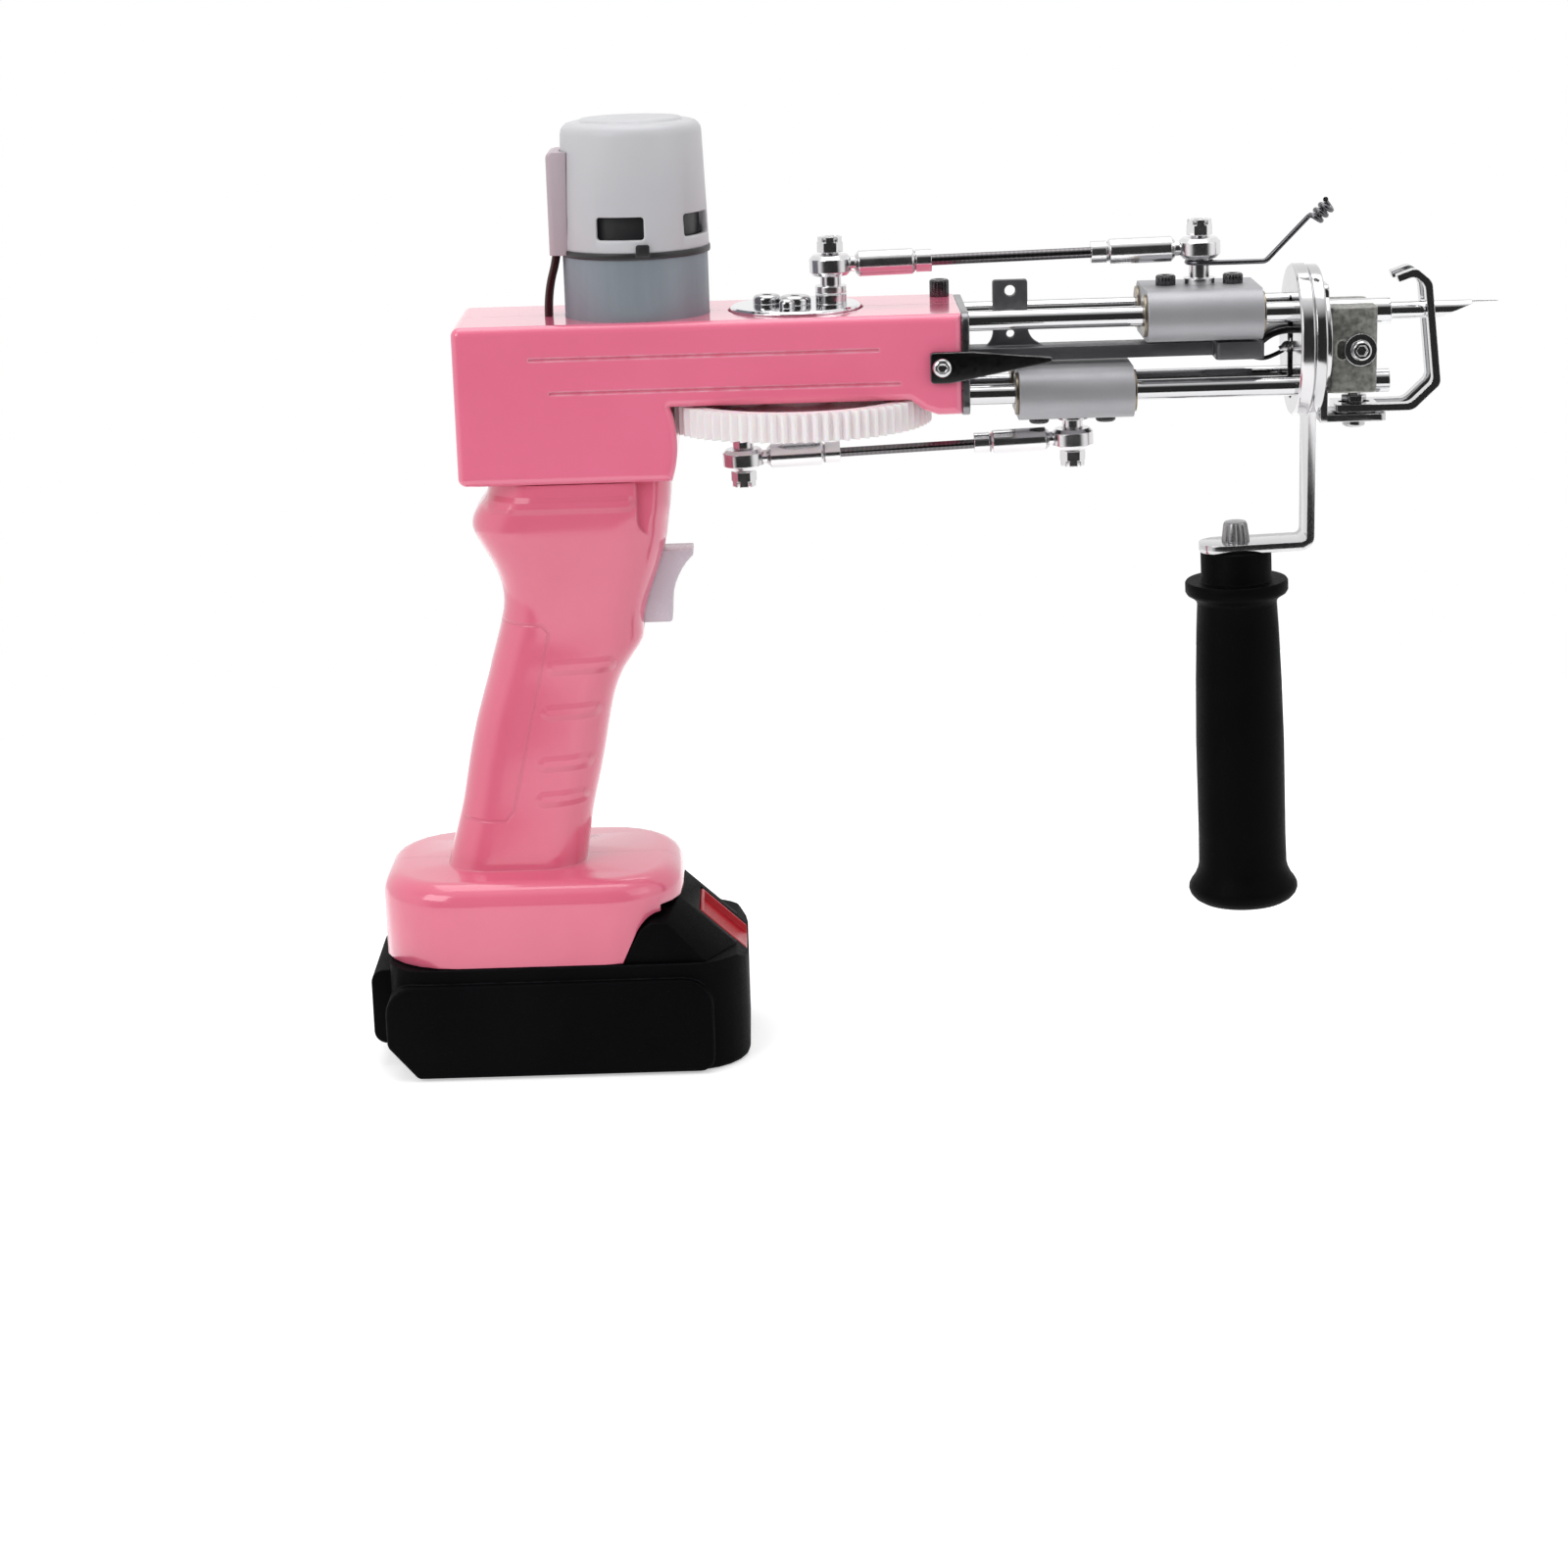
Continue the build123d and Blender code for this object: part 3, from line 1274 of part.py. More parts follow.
# Clamp screw through the shelf and the slot of the foot
foot_top_face_z = foot_low_z + foot_bar_thickness / 2
with BuildPart() as foot_screw:
    with Locations((foot_screw_x, 0, nose_shelf_z - screw_head_height)):
        Cylinder(foot_screw_radius, screw_head_height, align=(Align.CENTER, Align.CENTER, Align.MIN))
        Cylinder(
            stud_radius,
            foot_top_face_z - nose_shelf_z + screw_head_height + nut_height / 2,
            align=(Align.CENTER, Align.CENTER, Align.MIN),
        )
    chamfer(foot_screw.faces().sort_by(Axis.Z)[0].edges(), ring_edge)
    with BuildSketch(Plane.XY.offset(foot_top_face_z + fit)):
        with Locations((foot_screw_x, 0)):
            RegularPolygon(nut_across / 2, 6, major_radius=False)
    extrude(amount=nut_height / 2)
save(foot_screw, "foot_clamp_screw")

# Yarn guide: one spring wire that loops round the slider stud, rises and ends in a coiled eye
loop_radius = stud_collar_radius + guide_wire_radius + fit
guide_rise = sqrt((guide_top_x - guide_bend_x) ** 2 + (guide_top_z - guide_start_z) ** 2)
rise_share_x = (guide_top_x - guide_bend_x) / guide_rise
rise_share_z = (guide_top_z - guide_start_z) / guide_rise
eye_slope = atan(guide_eye_pitch / (2 * pi * guide_eye_radius))
eye_height = guide_eye_turns * guide_eye_pitch
eye_half_turn = (pi / 2 - eye_slope) / 2
eye_start_x = guide_top_x + rise_share_x * guide_turn_radius * cos(eye_slope)
eye_start_y = -loop_radius - guide_turn_radius * (1 - sin(eye_slope))
eye_start_z = guide_top_z + rise_share_z * guide_turn_radius * cos(eye_slope)
with BuildPart() as yarn_guide:
    with BuildLine() as guide_line:
        CenterArc(
            (needle_slider_x, 0, guide_start_z),
            loop_radius,
            guide_loop_start,
            guide_loop_angle,
        )
        FilletPolyline(
            (needle_slider_x, -loop_radius, guide_start_z),
            (guide_bend_x, -loop_radius, guide_start_z),
            (guide_top_x, -loop_radius, guide_top_z),
            radius=guide_bend_radius,
        )
        ThreePointArc(
            (guide_top_x, -loop_radius, guide_top_z),
            (
                guide_top_x + rise_share_x * guide_turn_radius * sin(eye_half_turn),
                -loop_radius - guide_turn_radius * (1 - cos(eye_half_turn)),
                guide_top_z + rise_share_z * guide_turn_radius * sin(eye_half_turn),
            ),
            (eye_start_x, eye_start_y, eye_start_z),
        )
        Helix(
            pitch=guide_eye_pitch,
            height=eye_height,
            radius=guide_eye_radius,
            center=(
                eye_start_x + rise_share_x * eye_height + rise_share_z * guide_eye_radius,
                eye_start_y,
                eye_start_z + rise_share_z * eye_height - rise_share_x * guide_eye_radius,
            ),
            direction=(-rise_share_x, 0, -rise_share_z),
        )
    for run in guide_line.edges():
        with BuildSketch(Plane(origin=run @ 0, z_dir=run % 0)):
            Circle(guide_wire_radius)
        sweep(path=run, is_frenet=run.geom_type == GeomType.BSPLINE)
save(yarn_guide, "yarn_guide")

# Wedge plate on the near side of the arm, held by one screw
with BuildPart() as wedge_plate:
    with BuildSketch(Plane.XZ.offset(housing_half_width)) as wedge_outline:
        with BuildLine():
            Polyline(
                (wedge_rear_x, wedge_low_z),
                (wedge_body_front_x, wedge_low_z),
                (wedge_tip_x, wedge_tip_z - wedge_tip_radius),
                (wedge_tip_x, wedge_tip_z + wedge_tip_radius),
                (wedge_body_front_x, wedge_high_z),
                (wedge_rear_x, wedge_high_z),
                close=True,
            )
        make_face()
        fillet(wedge_outline.vertices().group_by(Axis.X)[-1], wedge_tip_radius * 0.9)
        fillet(wedge_outline.vertices().group_by(Axis.X)[0], wedge_tip_radius)
    extrude(amount=wedge_thickness)
save(wedge_plate, "wedge_plate")

with BuildPart() as wedge_screw:
    with BuildSketch(Plane.XZ.offset(housing_half_width + wedge_thickness)):
        with Locations((wedge_screw_x, wedge_screw_z)):
            Circle(wedge_screw_radius)
    extrude(amount=screw_head_height)
    fillet(wedge_screw.faces().sort_by(Axis.Y)[0].edges(), ring_edge)
    with BuildSketch(Plane.XZ.offset(housing_half_width + wedge_thickness + screw_head_height)):
        with Locations((wedge_screw_x, wedge_screw_z)):
            RegularPolygon(screw_hex_radius, 6)
    extrude(amount=-screw_hex_depth, mode=Mode.SUBTRACT)
save(wedge_screw, "wedge_screw")

# Track between the rods with an upright tab for the thread hole
with BuildPart() as tab_track:
    with BuildSketch(Plane.XY.offset(track_low_z)):
        with Locations((plate_front_x, 0)):
            Rectangle(track_front_x - plate_front_x, 2 * track_half_width, align=(Align.MIN, Align.CENTER))
    extrude(amount=track_high_z - track_low_z)
    with BuildSketch(Plane.XZ) as tab_outline:
        with Locations((tab_rear_x, track_low_z)):
            Rectangle(tab_front_x - tab_rear_x, tab_top_z - track_low_z, align=(Align.MIN, Align.MIN))
        fillet(tab_outline.vertices().group_by(Axis.Y)[-1], tab_corner_radius)
        with Locations(((tab_rear_x + tab_front_x) / 2, tab_top_z - tab_hole_drop)):
            Circle(tab_hole_radius, mode=Mode.SUBTRACT)
    extrude(amount=tab_thickness / 2, both=True)
save(tab_track, "tab_track")

# Side handle: clamp ring and bent bar
clamp_mid_z = ring_z - clamp_radius + bar_half_width / 2
with BuildPart() as handle_bracket:
    with BuildSketch(Plane.YZ.offset(clamp_rear_x)):
        with Locations((0, ring_z)):
            Circle(clamp_radius)
        with Locations((0, bar_low_z)):
            Rectangle(2 * bar_half_width, ring_z - bar_low_z, align=(Align.CENTER, Align.MIN))
        with Locations((0, ring_z)):
            Circle(hub_radius + fit, mode=Mode.SUBTRACT)
    extrude(amount=clamp_thickness)
    with BuildSketch(Plane.XY.offset(bar_low_z)) as bar_outline:
        with Locations((bar_rear_x, 0)):
            Rectangle(clamp_front_x - bar_rear_x, 2 * bar_half_width, align=(Align.MIN, Align.CENTER))
        fillet(bar_outline.vertices().group_by(Axis.X)[0], bar_half_width - ring_edge)
        with Locations((handle_x, 0)):
            Circle(handle_bolt_radius + fit, mode=Mode.SUBTRACT)
    extrude(amount=bar_thickness)
    outer_bend = handle_bracket.edges().filter_by(Axis.Y).group_by(Axis.Z)[0].sort_by(Axis.X)[-1:]
    fillet(outer_bend, bar_bend_radius)
    inner_bend = handle_bracket.edges().filter_by(Axis.Y).filter_by(
        lambda edge: abs(edge.center().Z - bar_low_z - bar_thickness) < fit and abs(edge.center().X - clamp_rear_x) < fit
    )
    fillet(inner_bend, ring_edge)
save(handle_bracket, "handle_bracket")

# Plastic grip of the side handle, turned profile
with BuildPart() as handle_grip:
    with BuildSketch(Plane.XZ):
        with BuildLine():
            Polyline(
                (handle_x, handle_bottom_z),
                (handle_x + grip_top_radius, handle_bottom_z),
                (handle_x + flare_radius - ring_edge, flare_z - neck_radius),
                (handle_x + flare_radius, flare_z),
                (handle_x + flare_radius - ring_edge, flare_z + neck_radius),
                (handle_x + grip_low_radius, flare_z + 2 * bar_bend_radius),
            )
            Spline(
                (handle_x + grip_low_radius, flare_z + 2 * bar_bend_radius),
                (handle_x + grip_mid_radius, (flare_z + flange_low_z) / 2),
                (handle_x + grip_top_radius, flange_low_z - bar_thickness),
            )
            Polyline(
                (handle_x + grip_top_radius, flange_low_z - bar_thickness),
                (handle_x + flange_radius, flange_low_z),
                (handle_x + flange_radius, handle_neck_low_z),
                (handle_x + handle_neck_radius, handle_neck_low_z),
                (handle_x + handle_neck_radius, handle_scale_top_z),
                (handle_x, handle_scale_top_z),
                (handle_x, handle_bottom_z),
            )
        make_face()
    revolve(axis=Axis((handle_x, 0, 0), (0, 0, 1)))
    fillet(handle_grip.faces().sort_by(Axis.Z)[0].edges(), neck_radius)
    with Locations((handle_x, 0, flange_low_z)):
        Cylinder(
            handle_bolt_radius + fit,
            handle_scale_top_z,
            align=(Align.CENTER, Align.CENTER, Align.MIN),
            mode=Mode.SUBTRACT,
        )
save(handle_grip, "handle_grip")

# Tapered ribbed nut with its threaded stud, which holds the grip to the bar
bar_top_z = bar_low_z + bar_thickness
with BuildPart() as handle_nut:
    with Locations((handle_x, 0, bar_top_z)):
        Cone(
            handle_nut_radius,
            handle_nut_top_radius,
            handle_nut_height,
            align=(Align.CENTER, Align.CENTER, Align.MIN),
        )
        with PolarLocations(handle_nut_radius + handle_nut_groove_radius / 2, handle_nut_groove_count):
            Cylinder(
                handle_nut_groove_radius,
                handle_nut_height - ring_edge,
                align=(Align.CENTER, Align.CENTER, Align.MIN),
                mode=Mode.SUBTRACT,
            )
    with Locations((handle_x, 0, flange_low_z)):
        Cylinder(handle_bolt_radius, bar_top_z + gap - flange_low_z, align=(Align.CENTER, Align.CENTER, Align.MIN))
save(handle_nut, "handle_nut")

# Trigger with its hooked tip and the plunger behind it
with BuildPart() as trigger:
    with BuildSketch(Plane.XZ) as trigger_outline:
        with BuildLine():
            Polyline(
                (trigger_low_front_x, trigger_low_z),
                (trigger_rear_x, trigger_low_z),
                (trigger_rear_x, trigger_high_z),
                (trigger_tip_x, trigger_high_z),
                (trigger_tip_x, trigger_high_z - screw_hex_depth),
                (trigger_throat_x, trigger_high_z - trigger_half_width),
                close=True,
            )
        make_face()
        throat = trigger_outline.vertices().sort_by(Axis.X)[2:4].sort_by(Axis.Y)[-1]
        fillet(throat, trigger_half_width)
    extrude(amount=trigger_half_width, both=True)
    chamfer(trigger.faces().filter_by(Axis.Y).edges(), trigger_edge)
    with Locations((trigger_rear_x, 0, (switch_low_z + switch_high_z) / 2)):
        Cylinder(
            plunger_radius,
            trigger_rear_x - switch_front_x + trigger_travel / 2,
            rotation=(0, -90, 0),
            align=(Align.CENTER, Align.CENTER, Align.MIN),
        )
save(trigger, "trigger")

# Speed switch inside the grip
with BuildPart() as speed_switch:
    with Locations((switch_rear_x, 0, (switch_low_z + switch_high_z) / 2)):
        Box(
            switch_front_x - switch_rear_x - gap,
            2 * (switch_half_width - fit),
            switch_high_z - switch_low_z - 2 * fit,
            align=(Align.MIN, Align.CENTER, Align.CENTER),
        )
    with Locations((switch_front_x, 0, (switch_low_z + switch_high_z) / 2)):
        Cylinder(
            plunger_radius + gap,
            2 * (trigger_travel + trigger_travel / 2 + gap),
            rotation=(0, 90, 0),
            mode=Mode.SUBTRACT,
        )
save(speed_switch, "speed_switch")

# Trigger return spring round the plunger
spring_length = trigger_rear_x - switch_front_x - 2 * spring_wire
with BuildPart() as trigger_spring:
    with BuildLine() as spring_line:
        Helix(
            pitch=spring_length / spring_turns,
            height=spring_length,
            radius=spring_radius,
            center=(switch_front_x + spring_wire - gap / 2, 0, (switch_low_z + switch_high_z) / 2),
            direction=(1, 0, 0),
        )
    with BuildSketch(Plane(origin=spring_line.line @ 0, z_dir=spring_line.line % 0)):
        Circle(spring_wire)
    sweep(is_frenet=True)
save(trigger_spring, "trigger_spring")

# The sloped front of the battery and the outline of its button
slope_run_x = slope_front_x - slope_top_x
slope_run_z = slope_front_z - slope_top_z
slope_length = sqrt(slope_run_x ** 2 + slope_run_z ** 2)
slope_plane = Plane(
    origin=(slope_top_x, 0, slope_top_z),
    x_dir=(slope_run_x / slope_length, 0, slope_run_z / slope_length),
    z_dir=(-slope_run_z / slope_length, 0, slope_run_x / slope_length),
)

# Battery: lower case with a rounded plan, a stepped rear clip and proud side panels
with BuildPart() as battery_case:
    with BuildSketch(Plane.XY) as case_outline:
        with Locations(((case_rear_x + case_front_x) / 2, 0)):
            Rectangle(case_front_x - case_rear_x, 2 * case_half_width)
        fillet(case_outline.vertices().group_by(Axis.X)[0], case_corner)
        fillet(case_outline.vertices().group_by(Axis.X)[-1], case_front_corner)
    extrude(amount=case_top_z)
    for side in (1, -1):
        with BuildSketch(Plane.XZ.offset(side * (case_half_width - side_panel_proud))) as panel_outline:
            with BuildLine():
                Polyline(
                    (side_panel_rear_x, side_panel_low_z),
                    (side_panel_front_x, side_panel_low_z),
                    (side_panel_front_x, side_panel_high_z),
                    (side_panel_rear_x, side_panel_high_z),
                    close=True,
                )
            make_face()
            fillet(panel_outline.vertices().group_by(Axis.Y)[-1], side_panel_corner)
            fillet(panel_outline.vertices().group_by(Axis.Y)[0].sort_by(Axis.X)[-1], side_panel_corner / 2)
        extrude(amount=side * 2 * side_panel_proud)
        panel_face = battery_case.faces().filter_by(Axis.Y).sort_by(Axis.Y)[0 if side > 0 else -1]
        fillet(panel_face.edges().filter_by(lambda edge: edge.center().Z > case_half_width / case_half_width), side_panel_proud / 2)
    with BuildSketch(Plane.XZ):
        with BuildLine():
            Polyline(
                (case_rear_x, 0),
                (case_rear_x + case_low_chamfer, 0),
                (case_rear_x, case_low_chamfer + side_panel_proud),
                close=True,
            )
        make_face()
    extrude(amount=case_half_width + 2 * side_panel_proud, both=True, mode=Mode.SUBTRACT)
    with BuildSketch(Plane.XY.offset(clip_low_z)) as clip_outline:
        with Locations((clip_rear_x, 0)):
            Rectangle(case_rear_x + case_corner - clip_rear_x, 2 * clip_half_width, align=(Align.MIN, Align.CENTER))
        fillet(clip_outline.vertices().group_by(Axis.X)[0], bar_bend_radius)
    extrude(amount=clip_high_z - clip_low_z)
    # the button pocket reaches a little into the case
    with BuildSketch(slope_plane):
        with Locations((slope_length * (button_low_share + button_high_share) / 2, 0)):
            RectangleRounded(
                slope_length * (button_high_share - button_low_share) + 2 * gap,
                2 * button_half_width + 2 * gap,
                ring_edge * 2,
            )
    extrude(amount=-(button_depth + button_travel), mode=Mode.SUBTRACT)
    # room for the cells
    with BuildSketch(Plane.XY.offset(cell_z - cell_radius)):
        Rectangle(2 * cell_radius * cell_count + 2 * gap, cell_length + 2 * gap)
    extrude(amount=case_top_z, mode=Mode.SUBTRACT)
save(battery_case, "battery_case")

# Five cells lying across the pack
with BuildPart() as battery_cells:
    with Locations((0, 0, cell_z)):
        with GridLocations(2 * cell_radius + gap / cell_count, 0, cell_count, 1):
            Cylinder(cell_radius, cell_length, rotation=(90, 0, 0))
save(battery_cells, "battery_cells")

# Battery top: the wedge in front of the foot and the grooved tower that slides into it
with BuildPart() as battery_top:
    for side in (1, -1):
        with BuildSketch(Plane.XZ.offset(side * ridge_half_width)):
            with BuildLine():
                Polyline(
                    (tower_front_x, case_top_z),
                    (foot_cut_mid_x + gap, foot_cut_mid_z - gap),
                    (foot_cut_high_x + gap, foot_cut_high_z - 2 * gap),
                    (slope_top_x - gap, slope_top_z),
                    (slope_front_x, slope_front_z),
                    (slope_front_x, case_top_z),
                    close=True,
                )
            make_face()
        with BuildSketch(Plane.XZ.offset(side * shoulder_half_width)):
            with BuildLine():
                Polyline(
                    (tower_front_x, case_top_z),
                    (foot_cut_mid_x - 2 * gap, foot_cut_mid_z - 6 * gap),
                    (foot_cut_high_x - 4 * gap, foot_cut_high_z - 12 * gap),
                    (slope_top_x - 12 * gap, slope_top_z - 14 * gap),
                    (case_front_x - case_front_corner, slope_front_z),
                    (case_front_x - case_front_corner, case_top_z),
                    close=True,
                )
            make_face()
        loft(ruled=True)
    with BuildSketch(Plane.XZ):
        with BuildLine():
            Polyline(
                (tower_front_x, case_top_z),
                (foot_cut_mid_x + gap, foot_cut_mid_z - gap),
                (foot_cut_high_x + gap, foot_cut_high_z - 2 * gap),
                (slope_top_x - gap, slope_top_z),
                (slope_front_x, slope_front_z),
                (slope_front_x, case_top_z),
                close=True,
            )
        make_face()
    extrude(amount=ridge_half_width, both=True)
    for low, high, half in (
        (case_top_z, tower_groove_low_z, tower_half_width),
        (tower_groove_low_z, tower_groove_high_z, tower_half_width - tower_groove_depth),
        (tower_groove_high_z, tower_top_z, tower_half_width),
    ):
        with BuildSketch(Plane.XY.offset(low)):
            with Locations((tower_rear_x, 0)):
                Rectangle(foot_cut_high_x - tower_rear_x, 2 * half, align=(Align.MIN, Align.CENTER))
        extrude(amount=high - low)
    # slots for the contact blades, open to the rear
    with BuildSketch(Plane.XY.offset(tower_top_z - contact_height - gap)):
        with Locations((tower_rear_x, 0)):
            with GridLocations(0, contact_pitch, 1, contact_count):
                Rectangle(
                    contact_front_x - tower_rear_x,
                    2 * contact_thickness,
                    align=(Align.MIN, Align.CENTER),
                )
    extrude(amount=contact_height + gap, mode=Mode.SUBTRACT)
    # pocket for the release button in the slope
    with BuildSketch(slope_plane):
        with Locations((slope_length * (button_low_share + button_high_share) / 2, 0)):
            RectangleRounded(
                slope_length * (button_high_share - button_low_share) + 2 * gap,
                2 * button_half_width + 2 * gap,
                ring_edge * 2,
            )
    extrude(amount=-(button_depth + button_travel), mode=Mode.SUBTRACT)
save(battery_top, "battery_top")

# Red release button
with BuildPart() as release_button:
    with BuildSketch(slope_plane.offset(-button_depth)):
        with Locations((slope_length * (button_low_share + button_high_share) / 2, 0)):
            RectangleRounded(
                slope_length * (button_high_share - button_low_share),
                2 * button_half_width,
                ring_edge * 2,
            )
    extrude(amount=button_depth - 2 * gap)
save(release_button, "release_button")

# Contact blades under the roof of the foot channel
with BuildPart() as contact_blades:
    with BuildSketch(Plane.XY.offset(channel_top_z - contact_height)):
        with Locations((tower_rear_x + gap, 0)):
            with GridLocations(0, contact_pitch, 1, contact_count):
                Rectangle(contact_length / 2 + gap, contact_thickness, align=(Align.MIN, Align.CENTER))
    extrude(amount=contact_height)
save(contact_blades, "contact_blades")

# Screws of the grip, sunk in the far side
with BuildPart() as housing_screws:
    for screw_x, screw_z in (
        (box_rear_x + 2 * side_panel_corner, (panel_low_z + box_bottom_z) / 2),
        (arm_front_x - 2 * side_panel_corner, panel_high_z + small_screw_radius),
    ):
        with BuildSketch(Plane.XZ.offset(-housing_half_width)):
            with Locations((screw_x, screw_z)):
                Circle(housing_screw_radius)
        extrude(amount=-housing_screw_depth)
save(housing_screws, "housing_screws")
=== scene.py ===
import bpy
import bmesh
import math
from mathutils import Matrix, Vector


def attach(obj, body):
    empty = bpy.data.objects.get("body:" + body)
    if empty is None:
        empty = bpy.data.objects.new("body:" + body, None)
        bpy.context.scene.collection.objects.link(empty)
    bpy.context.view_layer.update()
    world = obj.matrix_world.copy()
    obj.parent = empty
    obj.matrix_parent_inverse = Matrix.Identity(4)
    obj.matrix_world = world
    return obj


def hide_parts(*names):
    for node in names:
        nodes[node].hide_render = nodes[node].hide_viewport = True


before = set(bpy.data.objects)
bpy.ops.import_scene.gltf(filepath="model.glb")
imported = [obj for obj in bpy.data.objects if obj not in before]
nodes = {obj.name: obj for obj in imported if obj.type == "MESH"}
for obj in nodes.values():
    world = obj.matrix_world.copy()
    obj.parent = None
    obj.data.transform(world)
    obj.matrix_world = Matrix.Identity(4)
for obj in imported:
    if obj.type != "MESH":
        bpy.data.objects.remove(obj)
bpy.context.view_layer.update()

# The photographer's viewpoint: nearly square to the tool's near side, fifteen degrees above
# level, with the camera about a metre off and turned a little clockwise.
view_target = Vector((0.0719, 0, 0.08115))
view_height = math.radians(15.3)
view_tilt = math.radians(1.7)
view_distance = 1.06
view_back = Vector((0, -math.cos(view_height), math.sin(view_height)))
view_right = Vector((1, 0, 0))
view_up = view_back.cross(view_right)
camera_x = view_right * math.cos(view_tilt) - view_up * math.sin(view_tilt)
camera_y = view_right * math.sin(view_tilt) + view_up * math.cos(view_tilt)
bpy.ops.object.camera_add(location=view_target + view_back * view_distance)
camera = bpy.context.object
camera.name = "studio_camera"
camera.rotation_euler = Matrix((camera_x, camera_y, view_back)).transposed().to_euler()
camera.data.lens = 78.713
camera.data.sensor_width = 36.0
camera.data.clip_start = 0.05
bpy.context.scene.camera = camera
bpy.context.scene.view_settings.view_transform = "Standard"

# The studio: a white sweep with soft boxes to both sides and above. Polished metal also sees
# the dim half of the room behind the camera, which draws the dark bands across it.


def wire(tree, kind, inputs=None, **settings):
    """A node with its settings made and each input given a value or another node's output."""
    made = tree.nodes.new("ShaderNode" + kind)
    for name, value in settings.items():
        setattr(made, name, value)
    for socket, value in (inputs or {}).items():
        if isinstance(value, bpy.types.NodeSocket):
            tree.links.new(value, made.inputs[socket])
        else:
            made.inputs[socket].default_value = value
    return made


def ramp(tree, value, low, high, to_low=0.0, to_high=1.0):
    """A value's range carried over to another range, held at both ends."""
    return wire(tree, "MapRange", {"Value": value, "From Min": low, "From Max": high,
                                   "To Min": to_low, "To Max": to_high}).outputs["Result"]


def sum_of(tree, action, first, second):
    """Two values added, multiplied or compared."""
    return wire(tree, "Math", {0: first, 1: second}, operation=action).outputs[0]


def finish_of(name):
    """A new material with its node tree and its shader."""
    made = bpy.data.materials.new(name)
    made.use_nodes = True
    return made, made.node_tree, made.node_tree.nodes["Principled BSDF"]


room_light = 0.60
dark_half = 0.03
room = bpy.data.worlds.new("studio_room")
room.use_nodes = True
bpy.context.scene.world = room
sky = room.node_tree
sky_end = sky.nodes["World Output"]
sky.nodes.remove(sky.nodes["Background"])
ray = wire(sky, "LightPath")
direction = wire(sky, "SeparateXYZ",
                 {0: wire(sky, "TexCoord").outputs["Generated"]})
near_half = ramp(sky, direction.outputs["Y"], 0.20, -0.25)
below_top = ramp(sky, direction.outputs["Z"], 0.90, 0.62)
between_boxes = ramp(sky, sum_of(sky, "ABSOLUTE", direction.outputs["X"], 0), 0.88, 0.62)
dim = sum_of(sky, "MULTIPLY", sum_of(sky, "MULTIPLY", near_half, below_top), between_boxes)
seen_white = ramp(sky, dim, 0, 1, 1.0, dark_half)
plain_white = sum_of(sky, "MAXIMUM", ray.outputs["Is Camera Ray"],
                     ray.outputs["Is Transmission Ray"])
seen = sum_of(sky, "MAXIMUM", seen_white, plain_white)
seen_rays = sum_of(sky, "MAXIMUM", plain_white, ray.outputs["Is Glossy Ray"])
lit = wire(sky, "Background", {"Color": (1, 1, 1, 1), "Strength": room_light})
shown = wire(sky, "Background", {"Color": (1, 1, 1, 1), "Strength": seen})
sky.links.new(wire(sky, "MixShader", {0: seen_rays, 1: lit.outputs[0],
                                      2: shown.outputs[0]}).outputs[0], sky_end.inputs["Surface"])

lamps = (("left_box", (-1.1, -1.2, 1.15), 1.0, 11.5), ("right_box", (1.3, -0.9, 0.9), 1.0, 3.2),
         ("top_box", (0.1, 0.25, 1.7), 1.4, 12.0))
for name, place, size, power in lamps:
    bpy.ops.object.light_add(type="AREA", location=place)
    lamp = bpy.context.object
    lamp.name = name
    lamp.data.energy = power
    lamp.data.size = size
    aim = Vector((0.08, 0, 0.14)) - Vector(place)
    lamp.rotation_euler = aim.to_track_quat("-Z", "Y").to_euler()

floor_radius = 0.50
floor_glow = 0.45
bpy.ops.object.select_all(action="DESELECT")
bpy.ops.mesh.primitive_circle_add(vertices=96, radius=floor_radius, fill_type="TRIFAN",
                                  location=(0.09, 0.05, 0))
floor = bpy.context.object
floor.name = "studio_floor"
floor_paint, tree, shader = finish_of("floor_paint")
floor_ray = wire(tree, "LightPath")
mottle = wire(tree, "TexNoise", {"Vector": wire(tree, "TexCoord").outputs["Object"], "Scale": 3.0})
tree.links.new(wire(tree, "Mix", {0: mottle.outputs[0], 6: (0.9, 0.9, 0.9, 1),
                                  7: (0.86, 0.86, 0.86, 1)}, data_type="RGBA").outputs[2],
               shader.inputs["Base Color"])
shader.inputs["Roughness"].default_value = 0.8
shader.inputs["Specular IOR Level"].default_value = 0.2
floor_seen = sum_of(tree, "MAXIMUM", floor_ray.outputs["Is Camera Ray"],
                    sum_of(tree, "MAXIMUM", floor_ray.outputs["Is Glossy Ray"],
                           floor_ray.outputs["Is Transmission Ray"]))
shader.inputs["Emission Color"].default_value = (1, 1, 1, 1)
tree.links.new(sum_of(tree, "MULTIPLY", floor_seen, floor_glow), shader.inputs["Emission Strength"])
floor.data.materials.append(floor_paint)

# Housing: two halves moulded in glossy pink plastic and screwed together over the motor and the
# gears. The skin is nearly mirror smooth, a little wavy where it cooled, and paler at its edges
# from painted sheen and wear.
mm = 0.001


def group_of(name, takes, gives):
    """An empty node group with its inputs and outputs named."""
    made = bpy.data.node_groups.new(name, "ShaderNodeTree")
    for label, kind, value in takes:
        made.interface.new_socket(label, in_out="INPUT",
                                  socket_type="NodeSocket" + kind).default_value = value
    for label, kind in gives:
        made.interface.new_socket(label, in_out="OUTPUT", socket_type="NodeSocket" + kind)
    return made, made.nodes.new("NodeGroupInput").outputs, made.nodes.new("NodeGroupOutput").inputs


